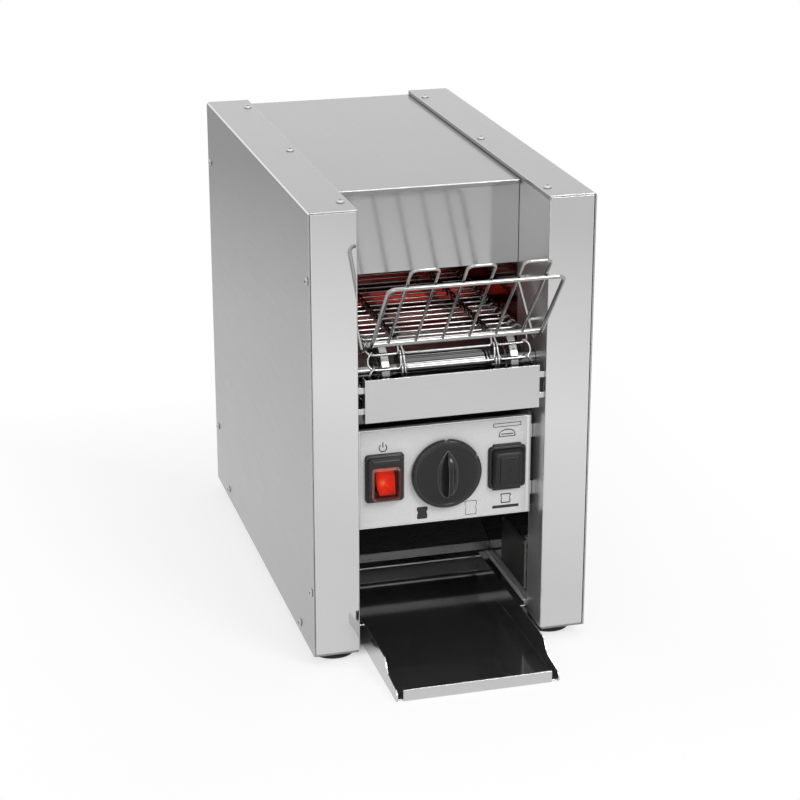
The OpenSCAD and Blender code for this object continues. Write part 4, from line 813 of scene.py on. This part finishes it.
# ---- Exit chute and toast tray ----------------------------------------------------------
# Polished sheet: the chute curves down from the rear guide to a turned-down lip over the
# tray, which slides on two zinc-coated angles and has a rolled nose and a bright front lip.
# The chute's dark tone is painted shade, for the shadow in the exit bay.
chute_steel = metal("shaded_chute_steel", 0.1, 0.3, (0.05, 1, 1), 500, 0.02, metallic=0.75)
dress(chute_steel, "exit_chute")
dress(tray_steel, "toast_tray")
bright_zinc = metal("bright_zinc", 0.8, 0.3, (1, 0.1, 1), 300, 0.02, metallic=0.25)
dress(bright_zinc, "toast_tray_rails")
# The plate's dark tone is painted shade, for the shadow it stands in.
plate_metal = metal("satin_aluminium_in_painted_shade", 0.2, 0.4, (1, 0.06, 1), 900, 0.05)
dress(plate_metal, "blank_data_plate")

# ---- Control panel ----------------------------------------------------------------------
# A folded polished sheet with a grey printed film on its face. The marks are in two inks: a
# power sign, a bun and a slice for the heat selector, a dark and a pale slice for the speed.
PANEL_MID = 147
FILM_Y = 19.7
INK_BACK, INK_FRONT = FILM_Y - 0.01, FILM_Y - 0.06
film = rubber("grey_printed_film", 0.55, 0.34, gloss=0.4)
ink = rubber("dark_ink", 0.02, 0.5)
pale_ink = rubber("pale_ink", 0.2, 0.5)
dress(polished, "control_panel")
dress(film, "panel_overlay")
dress(dark_steel_and_shade, "control_bay")
# Outlines of the marks, from -1 to 1 across and up
SLICE = ((-0.8, -1), (0.8, -1), (0.94, -0.86), (0.94, -0.25), (0.8, 0.05), (0.84, 0.25),
         (1, 0.45), (1, 0.82), (0.84, 1), (-0.84, 1), (-1, 0.82), (-1, 0.45), (-0.84, 0.25),
         (-0.8, 0.05), (-0.94, -0.25), (-0.94, -0.86))
BUN = ((-1, -0.9), (1, -0.9), (1, -0.55), (0.97, -0.1), (0.86, 0.35), (0.62, 0.72),
       (0.3, 0.94), (0, 1), (-0.3, 0.94), (-0.62, 0.72), (-0.86, 0.35), (-0.97, -0.1),
       (-1, -0.55))
BAR = ((-1, -1), (1, -1), (1, 1), (-1, 1))


def mark_loop(shape, outline, x, y, z, half_w, half_h):
    """The outline's vertices at a depth, for a mark of that half width and half height."""
    return [shape.verts.new(at(x + px * half_w, y, z + pz * half_h)) for px, pz in outline]


def printed(shape, outline, x, z, half_w, half_h, line=0, mark=0):
    """A mark 0.05 mm thick on the film: filled, or drawn with a line of that width."""
    back, front = (mark_loop(shape, outline, x, y, z, half_w, half_h)
                   for y in (INK_BACK, INK_FRONT))
    if line:
        inner = [mark_loop(shape, outline, x, y, z, half_w - line, half_h - line)
                 for y in (INK_FRONT, INK_BACK)]
        skin_rings(shape, [back, front, *inner, back], mark, caps=False)
    else:
        skin_rings(shape, [back, front], mark)


marks = bmesh.new()
printed(marks, BAR, 53.7, 184.5, 12.3, 1.75, line=0.6, mark=1)
printed(marks, BUN, 53.7, 177, 7.4, 3.7, line=0.9)
printed(marks, BAR, 53.7, 176.2, 5.2, 0.45)
printed(marks, SLICE, 53.3, 117.8, 4.6, 4.4, line=0.9)
printed(marks, BAR, 53.3, 110.4, 11.7, 1.3)
printed(marks, SLICE, -20.4, 112.5, 4.8, 5.5)
printed(marks, SLICE, 22.4, 112.5, 5.3, 6.4, line=0.45, mark=1)
SIGN_X, SIGN_Z, SIGN_R, SIGN_INNER_R, SIGN_GAP = -54.5, 174.6, 3.7, 2.812, 38
SIGN_STEPS = 20
arc = [math.radians(90 + SIGN_GAP + (360 - 2 * SIGN_GAP) * i / SIGN_STEPS)
       for i in range(SIGN_STEPS + 1)]
for a, b in zip(arc, arc[1:]):
    corners = [(r * math.cos(angle), r * math.sin(angle)) for r, angle in (
        (SIGN_R, a), (SIGN_R, b), (SIGN_INNER_R, b), (SIGN_INNER_R, a))]
    skin_rings(marks, [mark_loop(marks, corners, SIGN_X, y, SIGN_Z, 1, 1)
                       for y in (INK_BACK, INK_FRONT)])
printed(marks, BAR, SIGN_X, SIGN_Z + 2.7, 0.45, 2.3)
finish_piece("panel_marks", marks, [ink, pale_ink], "frame", "overlay_film")

# ---- Power switch -----------------------------------------------------------------------
# Black snap-in bezel with a ledge above, a rocker of translucent red plastic with a painted
# glow for the lamp inside it, and a soft clear splash cover over it.
SWITCH_X = 53.5
# The black plastics have a painted highlight along their edges.
black_plastic = rubber("black_plastic", 0.013, 0.3, gloss=0.4, painted_edge_light=0.12)
soft_black = rubber("soft_black_cover", 0.014, 0.4, gloss=0.3, painted_edge_light=0.12)


def round_rect_ring(shape, x, z, width, height, radius, out, lower=0, steps=5):
    """A rounded rectangle of vertices, out in front of the film and lowered, in mm."""
    places = []
    for k, (sx, sz) in enumerate(((1, 1), (-1, 1), (-1, -1), (1, -1))):
        for i in range(steps + 1):
            a = math.radians(90 * (k + i / steps))
            places.append(shape.verts.new(at(
                x + sx * (width / 2 - radius) + radius * math.cos(a), FILM_Y - out,
                z - lower + sz * (height / 2 - radius) + radius * math.sin(a))))
    return places


def stepped(shape, x, z, levels, closed=False):
    """A body through rounded rectangles (width, height, corner radius, out, lower)."""
    rings = [round_rect_ring(shape, x, z, *level) for level in levels]
    skin_rings(shape, rings + (rings[:1] if closed else []), caps=not closed)


def switch_back(shape, x):
    """What a switch has behind the panel: a body with a mouth in front, and three tags."""
    stepped(shape, x, PANEL_MID, [(21.6, 29.6, 0.5, -22), (21.6, 29.6, 0.5, -0.31),
                                  (18.2, 23.2, 0.5, -0.31), (18.2, 23.2, 0.5, -6.5)])
    for z in (-8, 0, 8):
        stepped(shape, x, PANEL_MID + z, [(6, 0.8, 0.1, -22), (6, 0.8, 0.1, -31)])


bezel = bmesh.new()
stepped(bezel, -SWITCH_X, PANEL_MID + 1.3, [
    (33.4, 42.5, 3, 0.02), (33.4, 42.5, 3, 2.0), (32.8, 41.9, 2.8, 2.8), (31.4, 40.5, 2.6, 3.2),
    (30.2, 39.3, 2.6, 3.5), (29.6, 38.6, 2.4, 6.2), (28.8, 37.8, 2.2, 6.9),
    (25.8, 29.6, 2.4, 6.9, 3.6), (25.1, 28.9, 2.4, 6.4, 3.6), (25.1, 28.9, 2.4, 3.1, 3.6),
    (18, 24, 1, 3.1, 1.3), (18, 24, 1, 0.02, 1.3)], closed=True)
stepped(bezel, -SWITCH_X, PANEL_MID + 16.9, [(24, 4.2, 0.9, 6.8), (24, 4.2, 0.9, 7.5),
                                            (23, 3.2, 0.7, 7.9)])
switch_back(bezel, -SWITCH_X)
finish_piece("power_bezel", bezel, [black_plastic], "frame", "black_plastic",
             "power_switch_body")

ROCKER_X, ROCKER_Y, ROCKER_HALF = 0.5 - SWITCH_X, 19.2, 7.0
ROCKER_TILT = math.radians(-8)
# The rocker from the side: back from its axle, and up
ROCKER_SIDE = ((-6.6, -12.3), (-7.1, -12.0), (-7.3, -11.4), (-6.9, -7), (-6.6, -3), (-6.9, 1),
               (-7.3, 2.2), (-7.1, 2.9), (-6.6, 3.3), (-3.5, 8.2), (1, 9), (3.4, 3),
               (3.4, -3), (1, -9), (-3.5, -10.3))
# The middle of the rocker's painted glow, behind its face where its lamp sits, and how far the
# glow spreads, in metres
GLOW_MIDDLE, GLOW_REACH = at(-SWITCH_X - 3.2, 11.4, PANEL_MID - 0.6), 0.0125


def rocker_body(shape):
    """The rocker, with its ends across eased and its upper end pressed in."""
    rings = []
    for across, share in ((-ROCKER_HALF, 0.93), (0.7 - ROCKER_HALF, 1),
                          (ROCKER_HALF - 0.7, 1), (ROCKER_HALF, 0.93)):
        places = []
        for y, z in ROCKER_SIDE:
            y, z = y * share, z * share
            places.append(shape.verts.new(at(
                ROCKER_X + across,
                ROCKER_Y + y * math.cos(ROCKER_TILT) - z * math.sin(ROCKER_TILT),
                PANEL_MID + y * math.sin(ROCKER_TILT) + z * math.cos(ROCKER_TILT))))
        rings.append(places)
    skin_rings(shape, rings)


# The rocker's glow is painted: an emission, brightest round that middle.
lit_red, tree, out = new_material("lit_red_plastic")
skin = node(tree, "ShaderNodeBsdfPrincipled", Specular_IOR_Level=0.12)
skin.inputs["Emission Strength"].default_value = 0.62
around = tree.nodes.new("ShaderNodeMapping")
around.inputs["Location"].default_value = -GLOW_MIDDLE / GLOW_REACH
around.inputs["Scale"].default_value = (1 / GLOW_REACH,) * 3
ball = tree.nodes.new("ShaderNodeTexGradient")
ball.gradient_type = "SPHERICAL"
tree.links.new(tree.nodes.new("ShaderNodeTexCoord").outputs["Object"], around.inputs["Vector"])
tree.links.new(around.outputs[0], ball.inputs["Vector"])
tree.links.new(ramp(tree, ball.outputs["Fac"], (0.0, (0.42, 0.02, 0.012)),
                    (0.3, (0.75, 0.03, 0.008)), (0.62, (0.95, 0.03, 0.004)),
                    (0.8, (1.0, 0.12, 0.03)), (0.95, (1.0, 0.5, 0.24))),
               skin.inputs["Emission Color"])
fine = grain_pattern(tree, (1, 1, 1), 500.0)
tree.links.new(blend_colour(tree, fine, (0.16, 0.012, 0.008), (0.22, 0.02, 0.01)),
               skin.inputs["Base Color"])
tree.links.new(spread(tree, fine, 0.24, 0.36), skin.inputs["Roughness"])
tree.links.new(skin.outputs[0], out.inputs["Surface"])
rocker = bmesh.new()
rocker_body(rocker)
finish_piece("lit_rocker", rocker, [lit_red], "power_switch", "red_plastic", "power_rocker")

# The cover is clear in front and a little frosted on its moulded rim.
FROSTED = 0.7
clear_cover, tree, out = new_material("clear_soft_cover")
skin = node(tree, "ShaderNodeBsdfPrincipled", IOR=1.12)
forwards = maths(tree, "ABSOLUTE", coordinates(tree, "Normal")["Y"])
tree.links.new(maths(tree, "ADD", maths(tree, "MULTIPLY", forwards, 1 - FROSTED), FROSTED),
               skin.inputs["Transmission Weight"])
fine = grain_pattern(tree, (1, 1, 1), 180.0)
tree.links.new(blend_colour(tree, fine, (0.86, 0.5, 0.47), (0.95, 0.6, 0.56)),
               skin.inputs["Base Color"])
tree.links.new(spread(tree, fine, 0.08, 0.16), skin.inputs["Roughness"])
tree.links.new(skin.outputs[0], out.inputs["Surface"])
cover = bmesh.new()
stepped(cover, -SWITCH_X, PANEL_MID - 2.3, [
    (24.8, 28.6, 2.2, 3.3), (24.8, 28.6, 2.4, 7.4), (24, 27.8, 3, 9.2), (22.6, 26.4, 3, 10.2),
    (19.4, 23.2, 2.6, 10.4), (1, 1, 0.4, 10.4), (1, 1, 0.4, 9.7), (18.8, 22.6, 2.4, 9.7),
    (21.4, 25.2, 2.6, 9.3), (22.4, 26.2, 2.4, 8.4), (22.8, 26.6, 2, 3.3)], closed=True)
finish_piece("clear_splash_cover", cover, [clear_cover], "frame", "clear_cover",
             "power_splash_cover")

# ---- Selector switch --------------------------------------------------------------------
# Black bezel with a tab above and below and a soft black cover with a raised pad, which
# gives way over the rocker inside.
selector = bmesh.new()
stepped(selector, SWITCH_X, PANEL_MID, [
    (33, 37.5, 3, 0.02), (33, 37.5, 3, 1.6), (32.2, 36.7, 2.8, 2.5), (31, 35.5, 2.4, 3),
    (28, 34, 2, 3), (27.4, 33.4, 2, 2.4), (18, 24, 1, 2.4), (18, 24, 1, 0.02)], closed=True)
for side in (-1, 1):
    stepped(selector, SWITCH_X, PANEL_MID + side * 18.2, [
        (25, 5.1, 0.8, 0.03), (25, 5.1, 0.8, 1.4), (24.2, 4.3, 0.7, 2.1)])
switch_back(selector, SWITCH_X)
finish_piece("selector_bezel", selector, [black_plastic], "frame", "black_plastic",
             "selector_switch_body")
boot = bmesh.new()
stepped(boot, SWITCH_X, PANEL_MID, [
    (27, 33, 3, 2.5), (27, 33, 3, 3.4), (25.6, 31.6, 3.6, 6.2), (24.4, 30.4, 3.6, 7.8),
    (22.4, 28.4, 3.2, 8.7), (17.6, 24.8, 1.8, 8.9), (16.8, 24, 1.6, 9.1),
    (16.4, 23.6, 1.5, 10), (15.4, 22.6, 1.4, 10.4), (1, 1, 0.4, 10.4), (1, 1, 0.4, 9.2),
    (14.8, 22, 1.2, 9.2), (21.6, 27.6, 2.4, 7.7), (23.6, 29.6, 2.4, 6.6),
    (25, 31, 2.4, 2.5)], closed=True)
finish_piece("soft_switch_cover", boot, [soft_black], "frame", "black_rubber",
             "selector_splash_cover")
dress(black_plastic, "selector_rocker")

# ---- Speed knob -------------------------------------------------------------------------
# Satin black moulded knob: a dished disc with a notched skirt and a tall finger grip with
# hollowed flanks, pointed at its upper end. It is pressed on the potentiometer's spindle.
KNOB_BACK = 18.9
KNOB_FACE = 5.9
NOTCH_R, NOTCH_HALF, NOTCHES = 28.7, 2.2, (90, 28)
# Out from the knob's back, and radius
KNOB_RIM = ((0, 29.8), (0.7, 30.4), (3.1, 30.4), (4.2, 30.0), (4.9, 29.2), (5.1, 28.2),
            (5.0, 27.4), (5.3, 26.6), (5.75, 25.2), (5.95, 23), (6, 20), (6, 0.5))
# Up from the knob's middle, half width and height of the grip
GRIP = ((-20.2, 0.5, 0.3), (-19.6, 2.6, 3.0), (-18.2, 4.6, 6.2), (-15, 6.6, 9.0),
        (-10, 8.0, 10.4), (-3, 8.8, 10.9), (4, 8.6, 10.8), (10, 7.2, 10.0), (15, 5.0, 8.4),
        (18.2, 3.0, 6.0), (20.4, 1.4, 3.0), (21.4, 0.4, 0.4))
# The knob has a painted highlight along its edges.
knob_black = rubber("satin_black_knob", 0.009, 0.17, gloss=0.36, edge=0.0011,
                    painted_edge_light=0.7)
knob = bmesh.new()
rings = []
for out_mm, radius in KNOB_RIM:
    places = []
    for a in range(1, 360, 2):
        notched = any(abs(a - notch) < NOTCH_HALF for notch in NOTCHES)
        r = min(radius, NOTCH_R) if notched else radius
        places.append(knob.verts.new(at(r * math.cos(math.radians(a)), KNOB_BACK - out_mm,
                                        PANEL_MID + r * math.sin(math.radians(a)))))
    rings.append(places)
skin_rings(knob, rings)
rings = []
for z, half, height in GRIP:
    ridge = min(1.9, 0.42 * half)
    flank = [(-half + (half - ridge) * s, height * s ** 2.3)
             for s in (0, 0.2, 0.4, 0.6, 0.8, 0.93, 1)]
    left = [(-half, -0.5), *flank, (-0.6 * ridge, height + 0.12)]
    rings.append([knob.verts.new(at(x, KNOB_BACK - KNOB_FACE - up, PANEL_MID + z))
                  for x, up in left + [(-x, up) for x, up in reversed(left)]])
skin_rings(knob, rings)
finish_piece("speed_knob_moulding", knob, [knob_black], "knob", "black_gloss_plastic",
             "speed_knob", sharp=40)

# ---- Electrical parts -------------------------------------------------------------------
# Plated potentiometer, green speed board, nylon terminal block, black cooling fan and a
# moulded cord gland in the rear panel.
dress(ground_shaft, "potentiometer")
dress(rubber("green_solder_mask", (0.03, 0.16, 0.06), 0.4), "speed_board")
dress(rubber("natural_nylon", (0.72, 0.7, 0.62), 0.4), "terminal_block")
dress(black_plastic, "fan_frame", "fan_rotor", "cable_gland")
